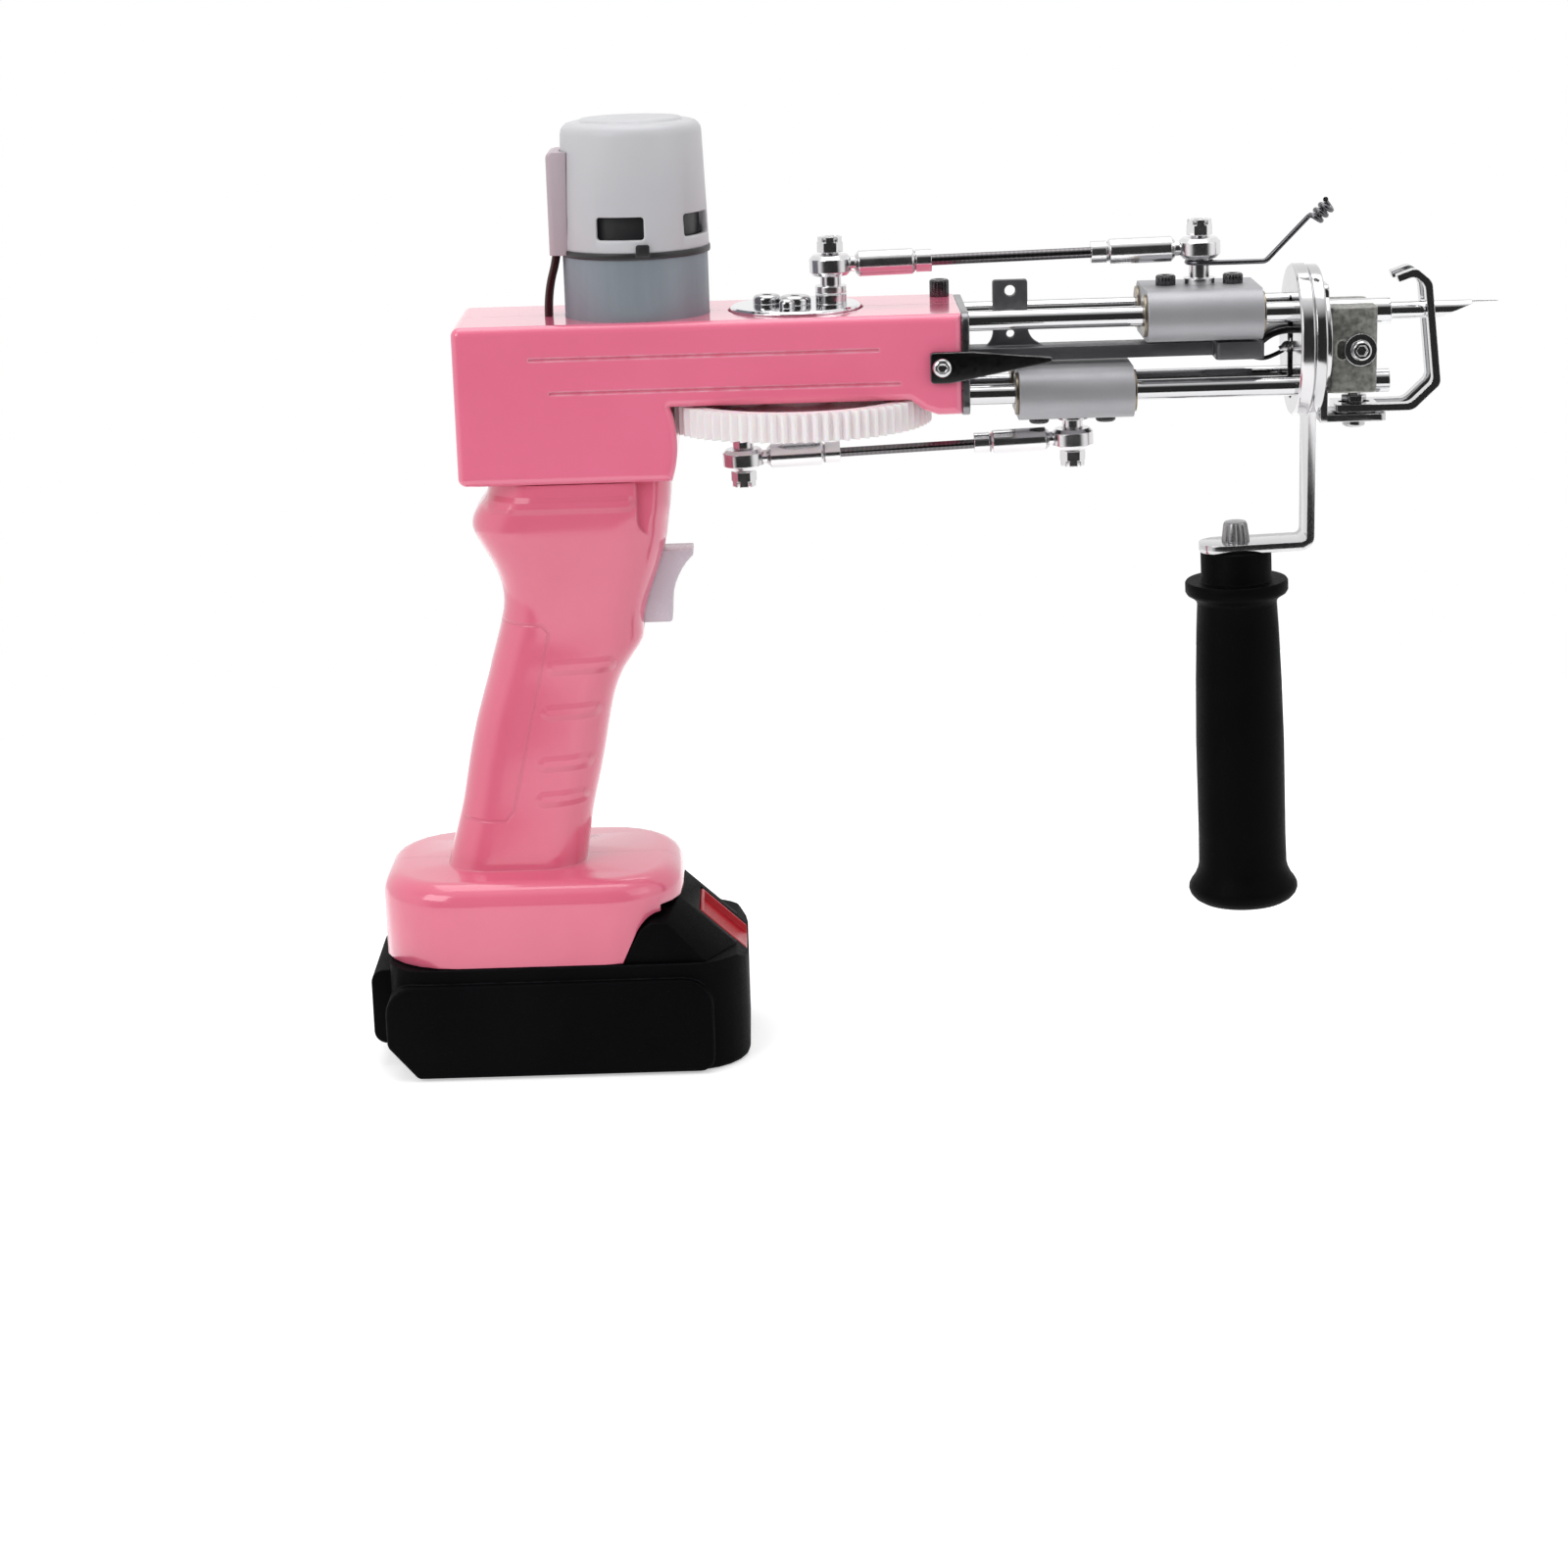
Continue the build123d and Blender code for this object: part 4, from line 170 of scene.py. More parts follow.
def noise_in(tree, scale, detail=3.0, stretch=None, offset=(0, 0, 0), rough=0.5):
    """Noise fixed to the object, drawn out along the axes with a small stretch."""
    place = wire(tree, "TexCoord").outputs["Object"]
    if stretch is not None:
        place = wire(tree, "Mapping", {"Vector": place, "Location": offset,
                                       "Scale": stretch}).outputs[0]
    return wire(tree, "TexNoise", {"Vector": place, "Scale": scale, "Detail": detail,
                                   "Roughness": rough}).outputs[0]


# Edge wear and sheen: the Bevel node finds every edge and groove, and the finishes below pale them
# there. The paleness is partly wear and partly a painted highlight, which also lifts the shade out
# of the grooves.
edge_wear_and_sheen, takes, gives = group_of(
    "edge_wear_and_sheen", (("Width", "Float", 0.0005), ("Amount", "Float", 1.0)),
    (("Mask", "Float"), ("Normal", "Vector")))
rounded = wire(edge_wear_and_sheen, "Bevel", {"Radius": takes["Width"]}, samples=6).outputs[0]
true_normal = wire(edge_wear_and_sheen, "NewGeometry").outputs["Normal"]
facing = wire(edge_wear_and_sheen, "VectorMath", {0: rounded, 1: true_normal}, operation="DOT_PRODUCT")
wear_and_sheen = ramp(edge_wear_and_sheen, facing.outputs["Value"], 0.995, 0.80)
patchy = ramp(edge_wear_and_sheen, noise_in(edge_wear_and_sheen, 240.0), 0.35, 0.62, 0.25, 1.0)
edge_wear_and_sheen.links.new(sum_of(edge_wear_and_sheen, "MULTIPLY", sum_of(edge_wear_and_sheen, "MULTIPLY", wear_and_sheen, patchy),
                          takes["Amount"]), gives["Mask"])
edge_wear_and_sheen.links.new(rounded, gives["Normal"])

moulded_skin, takes, gives = group_of(
    "moulded_skin", (("Grain", "Float", 900.0), ("Wave", "Float", 35.0),
                     ("Wave Share", "Float", 0.5)),
    (("Height", "Float"), ("Polish", "Float")))
place = wire(moulded_skin, "TexCoord").outputs["Object"]
grain = wire(moulded_skin, "TexNoise", {"Vector": place, "Scale": takes["Grain"],
                                        "Detail": 2.0}).outputs[0]
wave = wire(moulded_skin, "TexNoise", {"Vector": place, "Scale": takes["Wave"],
                                       "Detail": 1.0}).outputs[0]
moulded_skin.links.new(wire(moulded_skin, "Mix", {0: takes["Wave Share"], 2: grain,
                                                  3: wave}).outputs[0], gives["Height"])
moulded_skin.links.new(ramp(moulded_skin, grain, 0.3, 0.7), gives["Polish"])

handling_marks, takes, gives = group_of(
    "handling_marks", (("Scale", "Float", 40.0), ("Amount", "Float", 0.5)),
    (("Mask", "Float"),))
place = wire(handling_marks, "TexCoord").outputs["Object"]
cloud = wire(handling_marks, "TexNoise", {"Vector": place, "Scale": takes["Scale"], "Detail": 6.0,
                                          "Distortion": 0.6}).outputs[0]
speck = wire(handling_marks, "TexNoise", {"Vector": place, "Scale": 620.0}).outputs[0]
smear = sum_of(handling_marks, "MAXIMUM", ramp(handling_marks, cloud, 0.52, 0.75),
               ramp(handling_marks, speck, 0.70, 0.76))
handling_marks.links.new(sum_of(handling_marks, "MULTIPLY", smear, takes["Amount"]), gives["Mask"])

scored_line, takes, gives = group_of(
    "scored_line", (("Start", "Vector", (0, 0, 0)), ("End", "Vector", (0, 0, 0)),
                    ("Width", "Float", 0.0006)),
    (("Mask", "Float"),))
place = wire(scored_line, "VectorMath", {0: wire(scored_line, "TexCoord").outputs["Object"],
                                         1: (1, 0, 1)}, operation="MULTIPLY").outputs[0]
from_start = wire(scored_line, "VectorMath", {0: place, 1: takes["Start"]},
                  operation="SUBTRACT").outputs[0]
run = wire(scored_line, "VectorMath", {0: takes["End"], 1: takes["Start"]},
           operation="SUBTRACT").outputs[0]
dots = [wire(scored_line, "VectorMath", {0: run, 1: other},
             operation="DOT_PRODUCT").outputs["Value"] for other in (from_start, run)]
share = ramp(scored_line, sum_of(scored_line, "DIVIDE", dots[0], dots[1]), 0, 1)
nearest = wire(scored_line, "VectorMath", {0: run, "Scale": share}, operation="SCALE").outputs[0]
gap = wire(scored_line, "VectorMath", {0: from_start, 1: nearest}, operation="DISTANCE")
scored_line.links.new(ramp(scored_line, sum_of(scored_line, "DIVIDE", gap.outputs["Value"],
                                               takes["Width"]), 1.0, 0.35), gives["Mask"])


def bumped(tree, height, distance, under=None):
    """A relief of that height in metres, laid over the one under it; its normal."""
    inputs = {"Height": height, "Distance": distance}
    if under is not None:
        inputs["Normal"] = under
    return wire(tree, "Bump", inputs).outputs[0]


def grouped(tree, group, **inputs):
    """One of the shared groups placed in a material with this finish's own values."""
    made = tree.nodes.new("ShaderNodeGroup")
    made.node_tree = group
    for name, value in inputs.items():
        made.inputs[name.replace("_", " ")].default_value = value
    return made.outputs


def blend(tree, share, first, second):
    """Two colours mixed by a share that changes over the surface."""
    first, second = ((*c, 1) if isinstance(c, tuple) else c for c in (first, second))
    return wire(tree, "Mix", {0: share, 6: first, 7: second}, data_type="RGBA").outputs[2]


def moulding(name, tone, deep, pale_wear_and_sheen, rough=0.2, rough_swing=0.06, drift=22.0, grain=900.0,
             wave=35.0, wave_share=0.6, relief=0.00002, wear_and_sheen_width=0.0005, wear_and_sheen_amount=0.6, marks=0.25,
             dulled=0.3, lines=(), ribs=(), line_width=0.0006, line_depth=0.0002,
             groove_painted_shade=0.15, shaded=0.62, rib_width=0.0026, rib_height=0.0006, **plain):
    """A moulded plastic: tone that drifts to a deeper one, paler edges that are partly wear and
    partly painted sheen, a fine skin, lines scored in its sides and darkened with painted shade,
    and ribs raised on the sides, between (x, z) places in millimetres."""
    made, tree, shader = finish_of(name)
    shader.inputs["IOR"].default_value = 1.5
    for socket, value in plain.items():
        shader.inputs[socket.replace("_", " ")].default_value = value
    wear_and_sheen_edges = grouped(tree, edge_wear_and_sheen, Width=wear_and_sheen_width, Amount=wear_and_sheen_amount)
    skin = grouped(tree, moulded_skin, Grain=grain, Wave=wave, Wave_Share=wave_share)
    smear = grouped(tree, handling_marks, Scale=drift * 2, Amount=marks)["Mask"]
    body = blend(tree, ramp(tree, noise_in(tree, drift), 0.3, 0.7), tone, deep)
    # Edges and grooves turn towards the pale colour: partly wear, partly a painted highlight.
    coloured = blend(tree, wear_and_sheen_edges["Mask"], body, pale_wear_and_sheen)
    scored = None
    for (x, z), (end_x, end_z) in lines:
        line = grouped(tree, scored_line, Start=(x * mm, 0, z * mm), Width=line_width,
                       End=(end_x * mm, 0, end_z * mm))["Mask"]
        scored = line if scored is None else sum_of(tree, "MAXIMUM", scored, line)
    # The scored lines turn towards the shaded colour: painted shade in the grooves.
    if scored is not None:
        coloured = blend(tree, sum_of(tree, "MULTIPLY", scored, groove_painted_shade), coloured,
                         tuple(shaded * part for part in deep))
    tree.links.new(coloured, shader.inputs["Base Color"])
    even = ramp(tree, skin["Polish"], 0, 1, rough - rough_swing, rough + rough_swing)
    tree.links.new(sum_of(tree, "ADD", even, sum_of(tree, "MULTIPLY", smear, dulled)),
                   shader.inputs["Roughness"])
    normal = bumped(tree, skin["Height"], relief, wear_and_sheen_edges["Normal"])
    if scored is not None:
        normal = bumped(tree, sum_of(tree, "SUBTRACT", 1.0, scored), line_depth, normal)
    for (x, z), (end_x, end_z) in ribs:
        rib = grouped(tree, scored_line, Start=(x * mm, 0, z * mm), Width=rib_width,
                      End=(end_x * mm, 0, end_z * mm))["Mask"]
        normal = bumped(tree, rib, rib_height, normal)
    tree.links.new(normal, shader.inputs["Normal"])
    return made


def dress(material, *names):
    """Puts the finish in every material slot of these CAD nodes."""
    for name in names:
        for slot in nodes[name].material_slots:
            slot.material = material


gloss_pink = moulding(
    "gloss_pink", (0.86, 0.19, 0.31), (0.82, 0.17, 0.28), (0.95, 0.48, 0.60), rough=0.13,
    rough_swing=0.03, wave=26.0, wave_share=0.92, relief=0.0001, wear_and_sheen_width=0.001, wear_and_sheen_amount=1.0,
    marks=0.12, Coat_Weight=0.6, Coat_Roughness=0.08)
dress(gloss_pink, "housing_near", "housing_far")

# Roof screw: a turned steel thumb screw with a knurled head and a hexagon socket, which holds the
# far half of the housing down beside the arm. The dark screws sunk in the far side are its fellows.
weld_reach = 0.01 * mm


def put_down():
    """Closes the piece in hand and leaves nothing selected."""
    if bpy.context.object and bpy.context.object.mode == "EDIT":
        bpy.ops.object.mode_set(mode="OBJECT")
    bpy.ops.object.select_all(action="DESELECT")


def take_up(piece):
    """Selects this piece alone, closed, for the next operation."""
    put_down()
    piece.select_set(True)
    bpy.context.view_layer.objects.active = piece


def begin(add, **settings):
    """A primitive added with nothing else selected, opened for shaping."""
    put_down()
    add(**settings)
    bpy.ops.object.mode_set(mode="EDIT")
    return bpy.context.object


def choose(piece, kind, test):
    """Selects in edit mode only the corners, edges or faces whose middle passes the test."""
    bpy.ops.mesh.select_mode(type=kind)
    bpy.ops.mesh.select_all(action="DESELECT")
    mesh = bmesh.from_edit_mesh(piece.data)
    for part in {"VERT": mesh.verts, "EDGE": mesh.edges, "FACE": mesh.faces}[kind]:
        if kind == "VERT":
            part.select = bool(test(part.co / mm, part.normal))
        elif kind == "FACE":
            part.select = bool(test(part.calc_center_median() / mm, part.normal))
        else:
            ends = [corner.co for corner in part.verts]
            part.select = bool(test((ends[0] + ends[1]) / 2 / mm, (ends[1] - ends[0]).normalized()))
    mesh.select_flush_mode()
    bmesh.update_edit_mesh(piece.data)


def loop_at(places, fill_type):
    """A circle opened for shaping, with its corners moved to these places in metres."""
    piece = begin(bpy.ops.mesh.primitive_circle_add, vertices=len(places), fill_type=fill_type)
    mesh = bmesh.from_edit_mesh(piece.data)
    mesh.verts.ensure_lookup_table()
    for corner, place in zip(mesh.verts, places):
        corner.co = place
    bmesh.update_edit_mesh(piece.data)
    return piece


def blank_of(outline, along, low, high):
    """A blank cut to an outline of (first, second, corner) rows and drawn out from low to high.
    Along Y the rows are X and Z, along Z they are X and Y, along X they are Y and Z."""
    at = {"Y": lambda u, v: Vector((u, low, v)) * mm, "Z": lambda u, v: Vector((u, v, low)) * mm,
          "X": lambda u, v: Vector((low, u, v)) * mm}[along]
    blank = loop_at([at(u, v) for u, v, corner in outline], "NGON")
    for u, v, corner in outline:
        if corner:
            place = at(u, v) / mm
            choose(blank, "VERT", lambda co, normal: (co - place).length < 0.01)
            bpy.ops.mesh.bevel(offset=corner * mm, offset_type="ABSOLUTE", segments=6,
                               affect="VERTICES")
    bpy.ops.mesh.select_all(action="SELECT")
    reach = {"Y": (0, 1, 0), "Z": (0, 0, 1), "X": (1, 0, 0)}[along]
    bpy.ops.mesh.extrude_region_move(
        TRANSFORM_OT_translate={"value": Vector(reach) * (high - low) * mm})
    bpy.ops.mesh.select_all(action="SELECT")
    bpy.ops.mesh.normals_make_consistent(inside=False)
    return blank


def slab(start, end, corners, along, low, high):
    """A blank with a four-sided outline between two places, its corners rounded alike or singly."""
    (u, v), (far_u, far_v) = start, end
    radii = corners if isinstance(corners, tuple) else (corners,) * 4
    rows = zip((u, far_u, far_u, u), (v, v, far_v, far_v), radii)
    return blank_of(list(rows), along, low, high)


def hexagon(middle_u, middle_v, radius):
    """The outline of a hexagon, with its radius to the corners."""
    return [(middle_u + radius * math.cos(math.radians(60 * turn)),
             middle_v + radius * math.sin(math.radians(60 * turn)), 0) for turn in range(6)]


def turned(profile, middle, axis=(0, 0, 1), steps=48, ring=False):
    """A turned piece: (radius, height) rows spun round an axis through the middle. The rows of a
    ring close on themselves, and other rows start and end on the axis."""
    axis = Vector(axis).normalized()
    side = axis.orthogonal().normalized()
    piece = loop_at([(Vector(middle) + side * radius + axis * height) * mm
                     for radius, height in profile], "NOTHING")
    if not ring:
        centre = Vector(middle) + axis * (profile[0][1] + profile[-1][1]) / 2
        choose(piece, "EDGE", lambda co, way: (co - centre).length < 0.001 and
               abs(way.dot(axis)) > 0.999)
        bpy.ops.mesh.delete(type="EDGE_FACE")
    bpy.ops.mesh.select_mode(type="VERT")
    bpy.ops.mesh.select_all(action="SELECT")
    bpy.ops.mesh.spin(steps=steps, angle=math.tau, center=Vector(middle) * mm, axis=axis)
    bpy.ops.mesh.select_all(action="SELECT")
    bpy.ops.mesh.remove_doubles(threshold=weld_reach)
    bpy.ops.mesh.normals_make_consistent(inside=False)
    return piece


def peg(radius, low, high, middle, axis=(0, 0, 1), steps=32):
    """A plain round peg, to build on or to drill with."""
    return turned(((0, low), (radius, low), (radius, high), (0, high)), middle, axis, steps)


def cut_with(piece, cutter, action="DIFFERENCE"):
    """One piece cut by, joined to or kept inside another, which is then gone."""
    for thing in (piece, cutter):
        bpy.context.view_layer.objects.active = thing
        put_down()
    take_up(piece)
    change = piece.modifiers.new("cut", "BOOLEAN")
    change.operation = action
    change.object = cutter
    change.solver = "EXACT"
    bpy.ops.object.modifier_apply(modifier="cut")
    bpy.data.objects.remove(cutter, do_unlink=True)


def fit(piece, name, material, body, slot, *stands_for, rounding=0.0, segments=2, angle=35):
    """The last work on a piece: its edges rounded, shaded, painted and hung on its body, in the
    place of the CAD nodes it stands for. Its slot is not used."""
    take_up(piece)
    bpy.ops.object.transform_apply(location=True, rotation=True, scale=True)
    if rounding:
        edges = piece.modifiers.new("rounding", "BEVEL")
        edges.width = rounding * mm
        edges.segments = segments
        edges.limit_method = "ANGLE"
        edges.angle_limit = math.radians(angle)
        bpy.ops.object.modifier_apply(modifier="rounding")
    bpy.ops.object.shade_smooth_by_angle(angle=math.radians(angle))
    piece.name = name
    piece.data.name = name
    piece.data.materials.clear()
    piece.data.materials.append(material)
    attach(piece, body)
    if stands_for:
        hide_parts(*stands_for)
    return piece


def drawn_metal(name, tone, deep, bright_wear_and_sheen, rough=0.3, rough_swing=0.08, stretch=(1, 1, 1),
                grain=500.0, relief=0.00001, drift=30.0, wear_and_sheen_width=0.0004, wear_and_sheen_amount=0.8, marks=0.3,
                dulled=0.15, **plain):
    """A metal with a directed grain, brighter at its edges with wear and a painted sheen, and
    duller where handled.
    """
    made, tree, shader = finish_of(name)
    shader.inputs["Metallic"].default_value = 1.0
    for socket, value in plain.items():
        shader.inputs[socket.replace("_", " ")].default_value = value
    wear_and_sheen_edges = grouped(tree, edge_wear_and_sheen, Width=wear_and_sheen_width, Amount=wear_and_sheen_amount)
    streak = noise_in(tree, grain, 4.0, stretch)
    smear = grouped(tree, handling_marks, Scale=drift * 1.7, Amount=marks)["Mask"]
    body = blend(tree, ramp(tree, noise_in(tree, drift, 4.0, stretch), 0.32, 0.68), tone, deep)
    # Edges turn towards the bright colour: partly wear, partly a painted highlight.
    tree.links.new(blend(tree, wear_and_sheen_edges["Mask"], body, bright_wear_and_sheen), shader.inputs["Base Color"])
    even = ramp(tree, streak, 0.3, 0.7, rough - rough_swing, rough + rough_swing)
    tree.links.new(sum_of(tree, "ADD", even, sum_of(tree, "MULTIPLY", smear, dulled)),
                   shader.inputs["Roughness"])
    tree.links.new(bumped(tree, streak, relief, wear_and_sheen_edges["Normal"]), shader.inputs["Normal"])
    return made


def fluted(piece, middle, axis, count, reach, squeeze=0.93):
    """Flutes pressed into a turned piece: the corners on every fourth of its steps drawn inwards,
    between the two heights of reach."""
    axis = Vector(axis).normalized()
    side = axis.orthogonal().normalized()
    other = axis.cross(side)

    def on_flute(co, normal):
        out = co - Vector(middle)
        height = out.dot(axis)
        out = out - axis * height
        step = math.atan2(out.dot(other), out.dot(side)) / math.tau * count
        return out.length > 0.5 and reach[0] < height < reach[1] and abs(step - round(step)) < 0.05

    choose(piece, "VERT", on_flute)
    keep = abs(axis.x), abs(axis.y), abs(axis.z)
    bpy.ops.transform.resize(value=[squeeze + (1 - squeeze) * along for along in keep],
                             center_override=Vector(middle) * mm)


def socket_screw(place, low, high, radius=3.0, flutes=14, key_share=0.52, key_depth_share=0.6):
    """A knurled socket screw standing from low to high, its head up when high is above low."""
    way = math.copysign(1, high - low)
    tall = abs(high - low)
    foot = (place[0], place[1], low)
    screw = turned(((0, 0), (radius, 0), (radius, tall * 0.45), (radius, tall - 0.5),
                    (radius - 0.45, tall), (0, tall)), foot, (0, 0, way), steps=flutes * 4)
    fluted(screw, foot, (0, 0, way), flutes, (-0.1, tall - 0.4), 0.90)
    key = hexagon(*place, radius * key_share)
    cut_with(screw, blank_of(key, "Z", *sorted((high - way * tall * key_depth_share, high + way))))
    return screw


dark_screw = drawn_metal(
    "dark_screw", (0.11, 0.105, 0.11), (0.07, 0.07, 0.07), (0.42, 0.41, 0.42), rough=0.22,
    grain=600.0, relief=0.000006)
dress(dark_screw, "housing_screws")
roof_z = 228.0
roof_screw_place = (123.3, 18.0)
roof_screw = socket_screw(roof_screw_place, roof_z, 233.1, radius=2.95)
fit(roof_screw, "roof_screw", dark_screw, "frame", "dark_steel", rounding=0.12, angle=30)

# Grip and foot: two pink mouldings screwed along the middle, with a palm swell, a panel line,
# finger ribs and a wide foot that slides over the battery. Its pockets hold switch and trigger.
grip_pink = moulding(
    "grip_pink", (0.79, 0.16, 0.26), (0.73, 0.135, 0.225), (0.88, 0.34, 0.45), rough=0.16,
    rough_swing=0.04, wave=22.0, wave_share=0.9, relief=0.0002, wear_and_sheen_width=0.0006, marks=0.2,
    Coat_Weight=0.6, Coat_Roughness=0.1,
    lines=(((-11.6, 137.8), (0.7, 137.4)), ((0.7, 137.4), (2.7, 134.9)),
           ((2.7, 134.9), (-10.4, 79.7)), ((-10.4, 79.7), (-12.9, 76.6)),
           ((-12.9, 76.6), (-25.7, 77.0))),
    ribs=(((4.0, 124.0), (20.0, 124.6)), ((1.5, 110.0), (15.0, 110.6)),
          ((0.0, 94.0), (12.0, 94.6)), ((-1.0, 83.0), (10.0, 83.6)),
          ((-13.0, 174.5), (28.0, 174.5))))
# Each row: height, rear, front and half width.
grip_rows = ((180.8, -14.0, 41.0, 23.0), (176.4, -14.6, 40.8, 22.8), (170.9, -18.4, 40.3, 22.6),
             (166.6, -19.4, 39.6, 22.3), (161.5, -17.2, 38.9, 21.7), (155.5, -14.0, 37.3, 20.6),
             (149.5, -11.8, 35.2, 19.4), (143.0, -11.2, 32.9, 18.3), (136.5, -12.4, 31.2, 17.6),
             (130.5, -14.1, 30.6, 17.2), (125.5, -15.6, 27.6, 17.1), (120.0, -17.2, 24.0, 16.9),
             (113.5, -19.2, 21.4, 16.8), (105.5, -21.6, 19.5, 16.8), (97.1, -23.6, 17.9, 16.9),
             (88.4, -25.4, 16.0, 17.0), (80.0, -27.1, 13.9, 17.2), (71.5, -29.4, 12.2, 17.6),
             (63.5, -31.8, 10.9, 18.0), (56.0, -34.0, 10.0, 18.2))


def oblong(height, rear, front, half, corner, per_corner=9):
    """Points round a rounded oblong at one height, always the same number of them."""
    points = []
    for turn, (x, y) in enumerate(((front, -half), (front, half), (rear, half), (rear, -half))):
        centre_x = x - math.copysign(corner, x - (rear + front) / 2)
        centre_y = y - math.copysign(corner, y)
        for step in range(per_corner):
            at = math.radians(90 * (turn - 1) + 90 * step / (per_corner - 1))
            points.append(Vector((centre_x + corner * math.cos(at),
                                  centre_y + corner * math.sin(at), height)) * mm)
    return points


def between_rows(rows, parts=3):
    """The rows with others put between them, on a smooth line through all of them."""
    filled = []
    for at in range(len(rows) - 1):
        before, first, second, after = (Vector(rows[max(0, min(len(rows) - 1, at + step))])
                                        for step in (-1, 0, 1, 2))
        for part in range(parts):
            t = part / parts
            filled.append(0.5 * (2 * first + (second - before) * t +
                                 (2 * before - 5 * first + 4 * second - after) * t ** 2 +
                                 (3 * first - before - 3 * second + after) * t ** 3))
    return filled + [Vector(rows[-1])]


def drawn_through(rings):
    """A solid drawn from ring to ring, each time by extruding the last ring onto the next."""
    piece = loop_at(rings[0], "NGON")
    bpy.ops.mesh.select_mode(type="EDGE")
    bpy.ops.mesh.select_all(action="SELECT")
    for last, following in zip(rings, rings[1:]):
        bpy.ops.mesh.extrude_edges_move()
        mesh = bmesh.from_edit_mesh(piece.data)
        for corner in [c for c in mesh.verts if c.select]:
            at = min(range(len(last)), key=lambda i: (last[i] - corner.co).length_squared)
            corner.co = following[at]
        bmesh.update_edit_mesh(piece.data)
    bpy.ops.mesh.edge_face_add()
    bpy.ops.mesh.select_all(action="SELECT")
    bpy.ops.mesh.normals_make_consistent(inside=False)
    return piece


grip_corner_share = 0.72
grip = drawn_through([oblong(z, rear, front, half, half * grip_corner_share)
                      for z, rear, front, half in between_rows(grip_rows)])
foot = slab((-52.2, -34), (40, 34), 24, "Z", 35.3, 61.0)
choose(foot, "EDGE", lambda co, way: co.z > 60.9)
bpy.ops.mesh.bevel(offset=6.5 * mm, segments=6)
cut_with(foot, blank_of(((21.4, 35.2, 0), (26.7, 46.2, 2), (30.0, 49.3, 2), (37.3, 50.2, 1),
                         (40, 52.5, 1), (64, 52.5, 0), (64, 30, 0), (21.4, 30, 0)), "Y", -40, 40))
cut_with(foot, slab((-44, 30), (70, 51.6), 0, "Y", -26.5, 26.5))
cut_with(grip, foot, "UNION")
for side in (-1, 1):
    pocket = slab((30.6, 164.0), (50, 185), (5, 0, 0, 0), "Y", *sorted((side * 18.5, side * 30)))
    cut_with(grip, pocket)
cut_with(grip, slab((13.8, 134.3), (60, 157.2), (0, 0, 1.5, 0), "Y", -6, 6))
cut_with(grip, slab((-6.2, 130.9), (14.0, 156.1), 0, "Y", -9, 9))
take_up(grip)
edges = grip.modifiers.new("rounding", "BEVEL")
edges.width = 0.6 * mm
edges.segments = 2
edges.angle_limit = math.radians(40)
bpy.ops.object.modifier_apply(modifier="rounding")
bpy.ops.object.duplicate()
far_grip = bpy.context.object
half_gap = 0.02 * mm
for half, side, stands in ((grip, -1, "grip_near"), (far_grip, 1, "grip_far")):
    take_up(half)
    bpy.ops.object.mode_set(mode="EDIT")
    bpy.ops.mesh.select_all(action="SELECT")
    bpy.ops.mesh.bisect(plane_co=(0, side * half_gap, 0), plane_no=(0, 1, 0), use_fill=True,
                        clear_inner=side > 0, clear_outer=side < 0)
    fit(half, stands + "_moulding", grip_pink, "frame", "grip_pink", stands, angle=40)

# Motor: a drawn steel can, a black end bell that carries the brushes, and a frosted cap with five
# windows pressed over it on a black band. A lilac hood on its rear leads two wires to the roof.
motor_x = 32.5
can_steel = drawn_metal(
    "can_steel", (0.27, 0.31, 0.35), (0.24, 0.275, 0.31), (0.55, 0.55, 0.57), rough=0.50,
    Metallic=0.25, stretch=(1, 1, 0.08), grain=620.0, relief=0.000012)
dress(can_steel, "motor_can")
bell_black = moulding(
    "bell_black", (0.028, 0.028, 0.031), (0.018, 0.018, 0.02), (0.10, 0.10, 0.105), rough=0.42,
    grain=1400.0, wave_share=0.3, relief=0.00003)
dress(bell_black, "motor_end_bell")
frosted_cap = moulding(
    "frosted_cap", (0.72, 0.72, 0.74), (0.66, 0.66, 0.69), (0.93, 0.92, 0.94), rough=0.40,
    rough_swing=0.05, grain=1500.0, wave_share=0.35, relief=0.00002, wear_and_sheen_width=0.0011, wear_and_sheen_amount=1.0,
    marks=0.2, Transmission_Weight=0.22)
cap = turned(((0, 285.3), (14.6, 285.3), (15, 285.0), (15.2, 284.5), (17.6, 284.5), (19.0, 284.1),
              (20.0, 283.3), (20.6, 282.3), (20.8, 281.1), (22.0, 248), (20.4, 248), (19.3, 280.8),
              (18.4, 282.2), (17.0, 282.9), (0, 282.9)), (motor_x, 0, 0), steps=96)
first_window = -99.5
for turn in range(5):
    window = slab((-7.05, 251.7), (7.05, 258.35), 1, "X", motor_x + 15, motor_x + 28)
    bpy.ops.mesh.select_all(action="SELECT")
    bpy.ops.transform.rotate(value=-math.radians(first_window + 72 * turn), orient_axis="Z",
                             center_override=Vector((motor_x, 0, 255)) * mm)
    cut_with(cap, window)
fit(cap, "frosted_cup", frosted_cap, "frame", "clear_cap", "motor_cap", rounding=0.35, angle=40)
seam = turned(((21.2, 246.1), (22.15, 246.1), (22.3, 246.5), (22.3, 247.6), (22.15, 248.0),
               (21.2, 248.0)), (motor_x, 0, 0), steps=96, ring=True)
cap_tab = slab((33.5, 247.0), (37.5, 250.4), (0, 0, 0.8, 0.8), "Y", -22.6, -21.6)
cut_with(seam, cap_tab, "UNION")
fit(seam, "cap_seam", bell_black, "frame", "black_plastic", rounding=0.15)
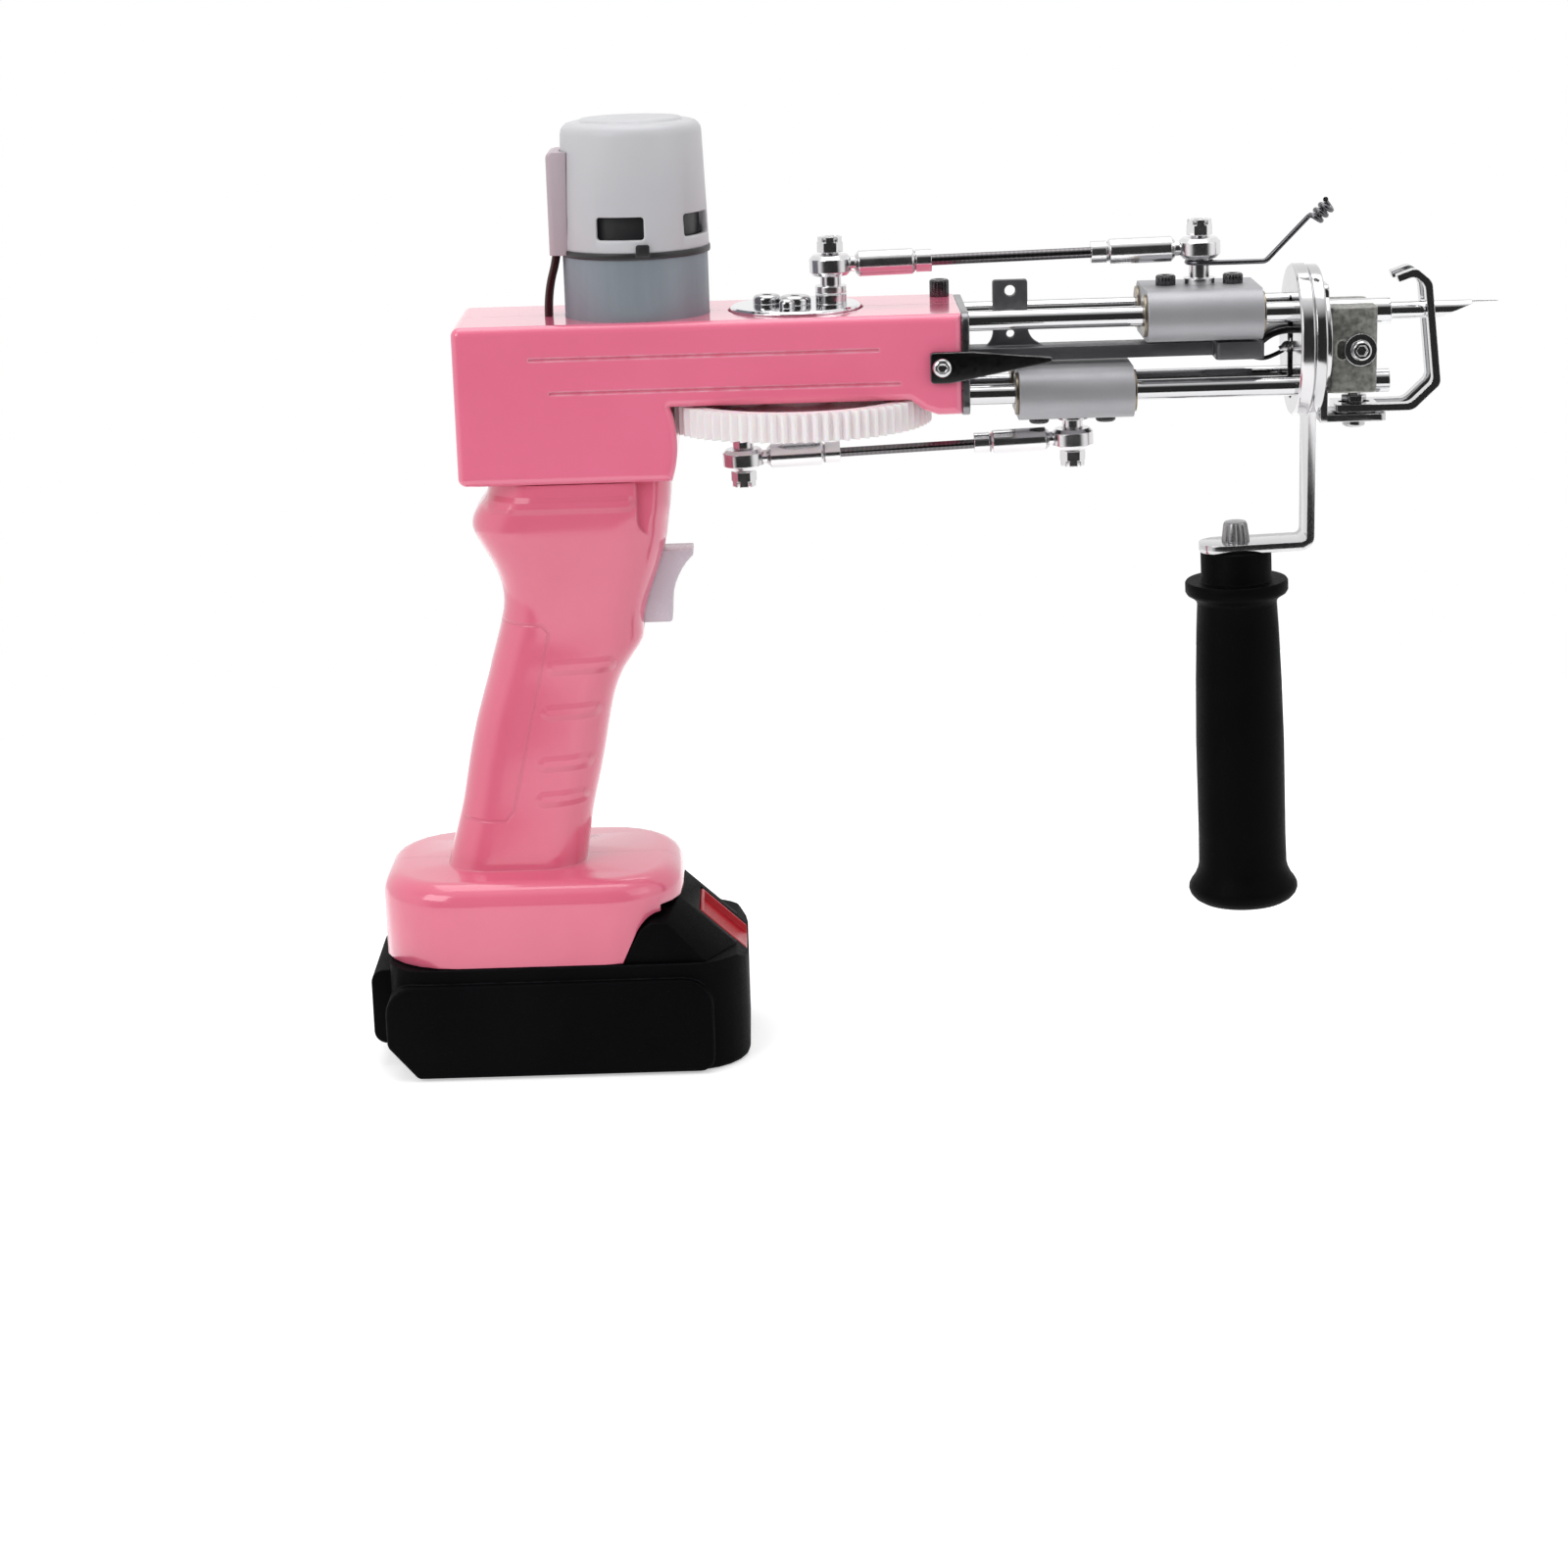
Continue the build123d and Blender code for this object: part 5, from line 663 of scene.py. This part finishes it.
lilac_cover = moulding(
    "lilac_cover", (0.50, 0.41, 0.45), (0.45, 0.37, 0.41), (0.66, 0.60, 0.64), rough=0.34,
    grain=1300.0, wave_share=0.4)
cover = slab((7.6, -10), (16, 10), (2, 0, 0, 2), "Z", 246.6, 276.5)
choose(cover, "EDGE", lambda co, way: co.z > 276.4 and co.x < 9)
bpy.ops.mesh.bevel(offset=1.6 * mm, segments=4)
cut_with(cover, slab((8.5, -9.1), (18, 9.1), (1.2, 0, 0, 1.2), "Z", 240, 275.6))
cut_with(cover, turned(((0, 240), (22.1, 240), (20.9, 290), (0, 290)), (motor_x, 0, 0), steps=96))
fit(cover, "wire_hood", lilac_cover, "frame", "clear_cap", "wire_cover", rounding=0.25)
red_lead = moulding(
    "red_lead", (0.045, 0.004, 0.005), (0.03, 0.003, 0.004), (0.12, 0.015, 0.018), rough=0.33,
    grain=1600.0, wave_share=0.3)
black_lead = moulding(
    "black_lead", (0.014, 0.013, 0.014), (0.009, 0.009, 0.009), (0.05, 0.05, 0.05), rough=0.33,
    grain=1600.0, wave_share=0.3)


def wire_along(route, radius, roundness):
    """A round wire on a smooth curve steered by places in millimetres, with both ends closed."""
    put_down()
    bpy.ops.curve.primitive_nurbs_path_add()
    curve = bpy.context.object.data
    curve.splines.clear()
    spline = curve.splines.new("NURBS")
    spline.points.add(len(route) - 1)
    for point, place in zip(spline.points, route):
        point.co = (*(Vector(place) * mm), 1)
    spline.order_u = 3
    spline.use_endpoint_u = True
    curve.bevel_depth = radius * mm
    curve.use_fill_caps = True
    curve.bevel_resolution = roundness
    bpy.ops.object.convert(target="MESH")
    bpy.ops.object.mode_set(mode="EDIT")
    bpy.ops.mesh.select_all(action="SELECT")
    bpy.ops.mesh.remove_doubles(threshold=weld_reach)
    return bpy.context.object


for side, paint, which, slot in ((-1, red_lead, "near", "lead_red"),
                                 (1, black_lead, "far", "lead_black")):
    route = [(x, side * 2.5, z) for x, z in ((9.7, 254), (9.7, 246.5), (6.1, 235.0), (6.1, roof_z))]
    fit(wire_along(route, 1.15, 4), "lead_" + which, paint, "frame", slot, "motor_lead_" + which,
        angle=60)

# Armature: a stack of stamped iron sheets wound with enamelled copper, on a ground steel shaft.
# It shows only through the cap's windows, as dark iron and a glint of copper.
armature_finish, tree, shader = finish_of("wound_armature")
shader.inputs["Metallic"].default_value = 1.0
place = wire(tree, "TexCoord").outputs["Object"]
sheets = wire(tree, "TexWave", {"Vector": place, "Scale": 420.0, "Distortion": 0.3},
              bands_direction="Z").outputs[1]
turns = wire(tree, "TexWave", {"Vector": place, "Scale": 260.0, "Distortion": 2.0},
             bands_direction="DIAGONAL").outputs[1]
height = wire(tree, "SeparateXYZ", {0: place}).outputs["Z"]
coils = sum_of(tree, "MAXIMUM", ramp(tree, height, *(edge * mm for edge in (237.2, 237.6))),
               ramp(tree, height, *(edge * mm for edge in (216.9, 216.5))))
iron = blend(tree, sheets, (0.16, 0.155, 0.15), (0.30, 0.29, 0.28))
copper = blend(tree, turns, (0.62, 0.24, 0.10), (0.35, 0.12, 0.05))
tree.links.new(blend(tree, coils, iron, copper), shader.inputs["Base Color"])
tree.links.new(ramp(tree, turns, 0, 1, 0.25, 0.45), shader.inputs["Roughness"])
wound = wire(tree, "Mix", {0: coils, 2: sheets, 3: turns}).outputs[0]
tree.links.new(bumped(tree, wound, 0.15 * mm), shader.inputs["Normal"])
dress(armature_finish, "motor_armature")

# Gear train: a steel pinion drives a white nylon gear, cut from bar, that turns the crank shaft
# in two ball bearings. The disc on the roof is turned and polished like a mirror.
white_nylon = moulding(
    "white_nylon", (0.97, 0.93, 0.94), (0.94, 0.89, 0.905), (0.98, 0.97, 0.97), rough=0.38,
    grain=700.0, wave_share=0.3, relief=0.00003, marks=0.3, Subsurface_Weight=0.25,
    Subsurface_Scale=0.004)
dress(white_nylon, "drive_gear")
gear_steel = drawn_metal(
    "gear_steel", (0.42, 0.42, 0.43), (0.33, 0.33, 0.34), (0.75, 0.75, 0.76), rough=0.28,
    stretch=(1, 1, 0.3))
dress(gear_steel, "pinion", "crank_shaft", "crank_bearings")
turned_disc = drawn_metal(
    "turned_disc", (0.80, 0.80, 0.81), (0.74, 0.74, 0.76), (0.95, 0.95, 0.95), rough=0.07,
    rough_swing=0.02, grain=300.0, relief=0.000002, marks=0.2, dulled=0.08)
dress(turned_disc, "crank_disc")
bright_screw = drawn_metal(
    "bright_screw", (0.66, 0.65, 0.66), (0.50, 0.50, 0.51), (0.92, 0.92, 0.93), rough=0.12,
    rough_swing=0.04, grain=500.0, relief=0.000004, dulled=0.1)
dress(bright_screw, "crank_screws", "nose_bolt")

# Front plate, guide rods and rings: ground plate with the rods pressed in, hard chromed rods,
# and a turned ring with its hub. The rods mirror the studio in lengthwise bands.
plate_steel = drawn_metal(
    "plate_steel", (0.27, 0.27, 0.28), (0.22, 0.22, 0.23), (0.60, 0.60, 0.61), rough=0.30,
    stretch=(1, 0.1, 1), grain=420.0)
plate_front_x = 129.9
plate = slab((-23.5, 197.8), (23.5, roof_z), 3, "X", 127.5, plate_front_x)
fit(plate, "ground_plate", plate_steel, "frame", "plate_steel", "front_plate", rounding=0.4)
chromed_rod = drawn_metal(
    "chromed_rod", (0.66, 0.66, 0.67), (0.56, 0.56, 0.57), (0.92, 0.92, 0.92), rough=0.10,
    rough_swing=0.02, stretch=(0.05, 1, 1), grain=400.0, relief=0.000002, dulled=0.08)
dress(chromed_rod, "guide_rods", "needle", "cutter_rod", "nose_bushes")
turned_ring = drawn_metal(
    "turned_ring", (0.66, 0.65, 0.66), (0.54, 0.54, 0.55), (0.95, 0.95, 0.95), rough=0.15,
    rough_swing=0.03, grain=380.0, relief=0.000003, dulled=0.1)
dress(turned_ring, "ring_rear")

# Sliders: two machined aluminium blocks, bead blasted and satin, that run on the rods in flanged
# bronze bushes. Each carries a ball stud and two socket screws.
satin_slider = drawn_metal(
    "satin_slider", (0.42, 0.42, 0.44), (0.38, 0.38, 0.40), (0.75, 0.75, 0.77), rough=0.50,
    rough_swing=0.05, Metallic=0.55, grain=1500.0, relief=0.00002, drift=45.0)
dress(satin_slider, "needle_slider", "cutter_slider")
bush_bronze = drawn_metal(
    "bush_bronze", (0.30, 0.26, 0.20), (0.22, 0.19, 0.15), (0.55, 0.50, 0.40), rough=0.34,
    grain=900.0, relief=0.00001)
dress(bush_bronze, "needle_slider_bushes", "cutter_slider_bushes")
screw_pitch = 20
slider_screws = {"needle": (189.8, 231.6, 234.6), "cutter": (151.8, 194.4, 191.4)}
for which, (rear_x, low, high) in slider_screws.items():
    rear_screw = socket_screw((rear_x, 0), low, high)
    bpy.ops.object.duplicate_move(TRANSFORM_OT_translate={"value": (screw_pitch * mm, 0, 0)})
    for end, screw in (("rear", rear_screw), ("front", bpy.context.object)):
        fit(screw, which + "_slider_screw_" + end, dark_screw, which + "_carriage", "dark_steel",
            which + "_slider_screws", rounding=0.12, angle=30)

# Links: forged and chromed ball ends screwed on a dark steel tie rod and held by lock nuts, with
# a ball stud and a castle nut at each end.
link_chrome = drawn_metal(
    "link_chrome", (0.78, 0.77, 0.78), (0.70, 0.69, 0.70), (0.96, 0.96, 0.96), rough=0.17,
    rough_swing=0.04, grain=260.0, relief=0.00002, dulled=0.1)
dress(link_chrome, "upper_link_ends", "lower_link_ends", "needle_slider_stud", "cutter_slider_stud",
      "upper_crank_stud", "lower_crank_stud", "upper_link_lock_nuts", "lower_link_lock_nuts")
threaded_rod, tree, shader = finish_of("threaded_rod")
shader.inputs["Metallic"].default_value = 1.0
place = wire(tree, "TexCoord").outputs["Object"]
thread = wire(tree, "TexWave", {"Vector": place, "Scale": 230.0}, bands_direction="X",
              wave_profile="SIN").outputs[1]
tree.links.new(blend(tree, thread, (0.13, 0.125, 0.13), (0.17, 0.16, 0.165)),
               shader.inputs["Base Color"])
tree.links.new(ramp(tree, noise_in(tree, 500.0), 0.3, 0.7, 0.14, 0.24), shader.inputs["Roughness"])
tree.links.new(bumped(tree, thread, 0.03 * mm), shader.inputs["Normal"])
dress(threaded_rod, "upper_link_tie_rod", "lower_link_tie_rod")

# Nose block: a cast black block between the nose plate and the bushes, its skin granular from
# the sand, with its top and bottom edges painted bright as highlights.
cast_black = moulding(
    "cast_black", (0.36, 0.36, 0.335), (0.12, 0.122, 0.11), (0.80, 0.78, 0.72), drift=520.0,
    rough=0.45, grain=1100.0, wave=300.0, wave_share=0.3, relief=0.00012, wear_and_sheen_width=0.0011,
    wear_and_sheen_amount=1.0, Metallic=0.5)
dress(cast_black, "nose_block")

# Nose plate and presser foot: a turned and folded plate on the ring's hub, and a slotted steel foot
# bent from strip, whose two legs curl back at the top, clamped under the shelf by one screw.
ring_z = 214.2
foot_screw_x = 246.4
nose_rear_x, nose_front_x = 235.1, 237.3
shelf_z = 190.2
nose = peg(15.5, nose_rear_x, nose_front_x, (0, 0, ring_z), (1, 0, 0), 64)
cut_with(nose, slab((-8, shelf_z), (8, 231), (0, 0, 2, 2), "X", nose_rear_x, nose_front_x), "UNION")
cut_with(nose, slab((nose_rear_x, -8), (255, 8), (0, 2.2, 2.2, 0), "Z", shelf_z, 192.4), "UNION")
for height, radius in ((222.0, 3.95), (201.2, 3.55)):
    cut_with(nose, peg(radius, 230, 240, (0, 0, height), (1, 0, 0)))
cut_with(nose, peg(2.2, 185, 195, (foot_screw_x, 0, 0)))
fit(nose, "folded_nose", turned_ring, "frame", "plate_steel", "nose_plate", rounding=0.35)


def strip_of(path, thickness, bend):
    """The outline of a strip of metal bent along a path of (x, z) places."""
    sides = ([], [])
    for at, place in enumerate(path):
        ways = [(Vector(path[i + 1]) - Vector(path[i])).normalized()
                for i in (at - 1, at) if 0 <= i < len(path) - 1]
        middle = sum(ways, Vector((0, 0))).normalized()
        out = Vector((-middle.y, middle.x)) * thickness / 2 / max(0.4, middle.dot(ways[0]))
        for side, row in zip((1, -1), sides):
            row.append((*(Vector(place) + out * side), bend if 0 < at < len(path) - 1 else 0.3))
    return sides[0] + sides[1][::-1]


presser = slab((240, -7), (252.8, 7), (1, 0.5, 0.5, 1), "Z", 192.9, 195.1)
for side in (-1, 1):
    leg = blank_of(strip_of(((240.2, 194), (262.6, 194), (270, 201), (267, 230.6), (263, 234),
                             (257.8, 232.2)), 2.2, 1.4), "Y", *sorted((side * 3.4, side * 7.0)))
    cut_with(presser, leg, "UNION")
cut_with(presser, slab((241.6, -2.1), (251.2, 2.1), 2, "Z", 190, 198))
fit(presser, "bent_foot", chromed_rod, "presser_foot", "polished_steel", "presser_foot",
    rounding=0.3)
clamp = turned(((0, 187.6), (2.9, 187.6), (3.4, 188.1), (3.4, shelf_z), (1.95, shelf_z),
                (1.95, 197.6), (1.6, 198.0), (0, 198.0)), (foot_screw_x, 0, 0), steps=40)
nut = blank_of(hexagon(foot_screw_x, 0, 3.8), "Z", 195.15, 197.25)
cut_with(clamp, nut, "UNION")
fit(clamp, "foot_screw", bright_screw, "presser_foot", "polished_steel", "foot_clamp_screw",
    rounding=0.2)

# Yarn guide: one length of spring wire, straight drawn and blued, bent into an arm and a coiled
# eye and hooked under the upper slider's screws. The trigger's spring is wound of the same wire.
spring_wire = drawn_metal(
    "spring_wire", (0.20, 0.20, 0.21), (0.13, 0.13, 0.14), (0.50, 0.50, 0.52), rough=0.22,
    grain=500.0, relief=0.000004, wear_and_sheen_amount=0.0)
dress(spring_wire, "yarn_guide", "trigger_spring")
plated = nodes["yarn_guide"].modifiers.new("plating", "DISPLACE")
plated.strength = 0.25 * mm
plated.mid_level = 0.0

# Wedge plate and track: black oxide steel, stamped and screwed to the arm, with their edges
# painted paler as highlights along the rims.
black_steel = drawn_metal(
    "black_steel", (0.045, 0.044, 0.046), (0.03, 0.03, 0.031), (0.62, 0.60, 0.61), rough=0.34,
    grain=700.0, relief=0.000012, wear_and_sheen_width=0.00045, wear_and_sheen_amount=1.0)
wedge = blank_of(((118.2, 208.1, 1.1), (124.3, 208.1, 1.0), (153.7, 213.5, 0.6),
                  (153.7, 214.9, 0.6), (plate_front_x, 217.2, 1.0), (118.2, 217.2, 1.1)),
                 "Y", -27, -25)
fit(wedge, "stamped_wedge", black_steel, "frame", "black_oxide", "wedge_plate", rounding=0.35)
wedge_screw_x, wedge_screw_z = 121.6, 212.9
wedge_head = turned(((0, 26.9), (2.9, 26.9), (2.9, 28.0), (2.6, 28.9), (1.9, 29.4), (0, 29.6)),
                    (wedge_screw_x, 0, wedge_screw_z), (0, -1, 0), steps=40)
cut_with(wedge_head, blank_of(hexagon(wedge_screw_x, wedge_screw_z, 1.5), "Y", -31, -28.2))
fit(wedge_head, "wedge_button_screw", bright_screw, "frame", "polished_steel", "wedge_screw",
    rounding=0.12)
track_top_z = 214.9
upright_x = 143.4
track_steel = drawn_metal(
    "track_steel", (0.14, 0.138, 0.148), (0.09, 0.089, 0.096), (0.55, 0.54, 0.55), rough=0.38,
    Metallic=0.55, grain=600.0, relief=0.000012, wear_and_sheen_width=0.0004, wear_and_sheen_amount=0.9)
track = slab((plate_front_x, 210.9), (205, track_top_z), 0, "Y", -5, 5)
cut_with(track, slab((203.5, -11.5), (217.9, 11.5), 1.5, "Z", 210.3, 215.5), "UNION")
upright = blank_of(((136.0, 214.0, 0), (153.1, 214.0, 0), (153.1, track_top_z, 0),
                    (148.6, 217.4, 3), (148.6, 234.6, 0.8), (138.2, 234.6, 0.8),
                    (138.2, 217.1, 2), (136.0, track_top_z, 0)), "Y", -1.2, 1.2)
cut_with(track, upright, "UNION")
for height, radius in ((231.4, 1.6), (218.6, 1.2)):
    cut_with(track, peg(radius, -4, 4, (upright_x, 0, height), (0, 1, 0), 24))
fit(track, "stop_track", track_steel, "frame", "black_oxide", "tab_track", rounding=0.35)

# Thread stop between the track and the ring: a black arched strip, and under it a spring wire whose
# end is a chromed bead pressed into the back of the ring.
arch = blank_of(strip_of(((217.2, 214.6), (220.2, 216.9), (224.0, 218.0), (228.0, 218.0)),
                         2.0, 1.5), "Y", -7, 7)
fit(arch, "stop_arch", black_steel, "frame", "black_oxide", rounding=0.3)
stop_route = ((213.0, 0, 210.6), (217.5, 0, 208.4), (222.5, 0, 209.6), (227.0, 0, 212.2))
fit(wire_along(stop_route, 0.65, 3), "stop_wire", black_steel, "frame", "black_oxide", angle=60)
bead = turned(((0, -2.3), (0.9, -2.3), (0.95, -1.5), (1.5, -0.8), (1.75, 0), (1.5, 0.8), (1.0, 1.4),
               (1.9, 1.8), (1.9, 2.6), (0, 2.6)), (226.0, 0, 212.2), (1, 0, 0.35), steps=32)
fit(bead, "stop_bead", link_chrome, "frame", "polished_steel", rounding=0.1, angle=60)

# Side handle: a chromed flat bar bent down from the clamp ring, and a satin black grip moulded
# round a stud that a ribbed nut draws up against the bar.
bar_chrome = drawn_metal(
    "bar_chrome", (0.62, 0.61, 0.62), (0.52, 0.52, 0.53), (0.92, 0.92, 0.92), rough=0.13,
    rough_swing=0.03, stretch=(1, 1, 0.1), grain=380.0, relief=0.000003)
bracket = blank_of(((200.0, 150.6, 0.6), (233.9, 151.5, 4), (233.9, 196.6, 0), (231.5, 196.6, 0),
                    (231.5, 154.1, 1.6), (200.0, 153.2, 0.6)), "Y", -7.7, 7.7)
cut_with(bracket, slab((200, -7.7), (240, 7.7), (7, 0, 0, 7), "Z", 140, 240), "INTERSECT")
cut_with(bracket, turned(((17.05, 231.5), (21.8, 231.5), (22.2, 231.9), (22.2, 234.6),
                          (21.8, 235.0), (17.05, 235.0)), (0, 0, ring_z), (1, 0, 0), steps=96,
                         ring=True), "UNION")
fit(bracket, "bent_bar", bar_chrome, "side_handle", "dark_steel", "handle_bracket", rounding=0.35)
grip_black = moulding(
    "grip_black", (0.0028, 0.0028, 0.003), (0.0018, 0.0018, 0.002), (0.022, 0.022, 0.023),
    rough=0.5, grain=1100.0, wave_share=0.2, relief=0.00003, marks=0.3, Specular_IOR_Level=0.03)
handle_lean = math.radians(1.6)
handle_axis = (-math.sin(handle_lean), 0, math.cos(handle_lean))
handle_top = (211.2, 0, 150.9)
side_grip = turned(((0, -111.3), (11.6, -111.3), (13.6, -110.8), (15.2, -109.8), (16.3, -108.5),
                    (16.8, -107.1), (16.7, -105.9), (16.1, -104.7), (14.9, -103.0), (14.0, -101.0),
                    (13.55, -99.0), (13.4, -90.0), (13.5, -60.0), (13.1, -40.0), (12.5, -24.0),
                    (12.1, -16.4), (12.4, -15.4), (13.6, -14.3), (15.1, -13.4), (15.6, -12.5),
                    (15.6, -9.9), (15.2, -9.3), (11.0, -9.3), (10.7, -8.8), (10.7, -0.4), (10.3, 0),
                    (0, 0)), handle_top, handle_axis, steps=72)
fit(side_grip, "turned_grip", grip_black, "side_handle", "handle_black", "handle_grip", angle=50)
ribbed = turned(((0, 2.6), (4.2, 2.6), (4.2, 3.4), (3.6, 7.8), (3.2, 8.6), (0, 8.7)), handle_top,
                handle_axis, steps=40)
fluted(ribbed, handle_top, handle_axis, 10, (2.5, 8.0), 0.88)
nut_steel = drawn_metal(
    "nut_steel", (0.34, 0.34, 0.345), (0.24, 0.24, 0.245), (0.75, 0.75, 0.76), rough=0.30,
    Metallic=0.8, grain=420.0, relief=0.000008)
fit(ribbed, "ribbed_nut", nut_steel, "side_handle", "dark_steel", "handle_nut", rounding=0.1,
    angle=40)

# Trigger and switch: a lilac moulded trigger, pale along its edges and hook with painted sheen
# and wear, drilled round a peg for its spring, over a black switch block with a plunger. Brass
# blades below reach into the battery.
spring_z = 143.5
lilac_trigger = moulding(
    "lilac_trigger", (0.67, 0.59, 0.655), (0.61, 0.53, 0.60), (0.94, 0.93, 0.94), rough=0.22,
    grain=900.0, wave_share=0.6, relief=0.00005, wear_and_sheen_width=0.0008, wear_and_sheen_amount=0.9)
pull = blank_of(((27.5, 134.8, 0), (39.6, 134.8, 1), (40.6, 149.7, 7), (46.6, 155.3, 0.5),
                 (46.6, 156.7, 0.5), (27.5, 156.7, 0)), "Y", -5.5, 5.5)
cut_with(pull, peg(4.8, 27, 34.2, (0, 0, spring_z), (1, 0, 0), 40))
cut_with(pull, turned(((0, 11.4), (2.0, 11.4), (2.4, 11.9), (2.4, 36), (0, 36)), (0, 0, spring_z),
                      (1, 0, 0), steps=32), "UNION")
fit(pull, "hooked_trigger", lilac_trigger, "trigger", "lilac_plastic", "trigger", rounding=0.7,
    segments=3)
dress(bell_black, "speed_switch")
blade_brass = drawn_metal(
    "blade_brass", (0.72, 0.56, 0.27), (0.62, 0.47, 0.22), (0.9, 0.78, 0.5), rough=0.25,
    grain=500.0)
dress(blade_brass, "contact_blades")

# Battery: a case and a top moulded in black with a fine spark texture, welded together over five
# cells. The red latch button is smooth and moulded in its own colour.
pack_black = moulding(
    "pack_black", (0.0035, 0.0035, 0.004), (0.002, 0.002, 0.0024), (0.022, 0.022, 0.024),
    rough=0.55, rough_swing=0.08, grain=1500.0, wave=40.0, wave_share=0.15, relief=0.00006,
    wear_and_sheen_width=0.0008, wear_and_sheen_amount=0.8, marks=0.25, Specular_IOR_Level=0.03)
case_top_z = 34.9
case = slab((-50.5, -34), (59.2, 34), (12, 18, 18, 12), "Z", 0, case_top_z)
choose(case, "EDGE", lambda co, way: co.z < 0.01)
bpy.ops.mesh.bevel(offset=2 * mm, segments=4)
cut_with(case, blank_of(((-60, -5, 0), (-37.5, -5, 0), (-50.5, 11.4, 0), (-60, 20, 0)),
                        "Y", -50, 50))
for side in (-1, 1):
    panel = blank_of(((-51.2, 11.4, 1), (-42.2, 0.8, 1), (48.5, 0.8, 4.5), (48.5, 30.4, 9),
                      (-51.2, 30.4, 9)), "Y", *sorted((side * 22.0, side * 36.4)))
    choose(panel, "EDGE", lambda co, way: abs(co.y) > 36.3)
    bpy.ops.mesh.bevel(offset=1.2 * mm, segments=3)
    cut_with(case, panel, "UNION")
cut_with(case, slab((-56.8, 7.4), (-38.5, 31.2), (4, 0, 0, 4), "Y", -20, 20), "UNION")
slope_top = (38.6, 51.1)
slope_drop = Vector((17.4, -16.2))
slope_length = 23.77
recess_depth = 6.2
slope_way = slope_drop.normalized()


def on_slope(share, depth):
    """A place on the battery's sloping front, so far down it and so deep under it."""
    return (slope_top[0] + slope_way.x * slope_length * share + slope_way.y * depth,
            slope_top[1] + slope_way.y * slope_length * share - slope_way.x * depth, 0)


def button_cut(low_share, half, deep, high=-6.0):
    """A block square to the slope, from above it down to a depth."""
    return blank_of((on_slope(low_share, high), on_slope(low_share, deep), on_slope(1.6, deep),
                     on_slope(1.6, high)), "Y", -half, half)


cut_with(case, button_cut(0.36, 12.0, recess_depth))
cut_with(case, button_cut(0.9, 40.0, 0.0, -12.0))
fit(case, "pack_case", pack_black, "battery", "battery_black", "battery_case", rounding=0.35,
    angle=40)
shoulder = ((21.6, case_top_z), (26.9, 45.2), (30.3, 47.6), (35.5, 47.4), (47.0, case_top_z))
ridge = ((21.6, case_top_z), (27.1, 45.8), (30.4, 48.5), (38.4, 51.1), (56.0, case_top_z))
pack_front = drawn_through([[Vector((x, y, z)) * mm for x, z in outline]
                            for y, outline in ((-32.5, shoulder), (-16, ridge),
                                               (16, ridge), (32.5, shoulder))])
tower = slab((-42, -26), (28, 26), (3, 0, 0, 3), "Z", case_top_z, 51.0)
for side in (-1, 1):
    cut_with(tower, slab((-60, side * 22.6), (20, side * 40), 0, "Z", 36.9, 40.8))
cut_with(pack_front, tower, "UNION")
cut_with(pack_front, button_cut(0.36, 12.0, recess_depth))
fit(pack_front, "pack_top", pack_black, "battery", "battery_black", "battery_top", rounding=0.5,
    angle=30)
cell_wrap = moulding(
    "cell_wrap", (0.06, 0.20, 0.32), (0.05, 0.17, 0.28), (0.5, 0.55, 0.6), rough=0.3)
dress(cell_wrap, "battery_cells")
latch_red = moulding(
    "latch_red", (0.46, 0.016, 0.026), (0.36, 0.012, 0.02), (0.60, 0.07, 0.08), rough=0.34,
    grain=900.0, wear_and_sheen_width=0.0006, Specular_IOR_Level=0.2)
button = blank_of((on_slope(0.38, 0), on_slope(0.38, 3.4), on_slope(1.5, 3.4), on_slope(1.5, 0)),
                  "Y", -11.5, 11.5)
cut_with(button, button_cut(0.43, 10.2, 2.0))
cut_with(button, slab((58.8, 0), (80, 60), 0, "Y", -20, 20))
fit(button, "thumb_button", latch_red, "release_button", "red_plastic", "release_button",
    rounding=0.4, angle=40)
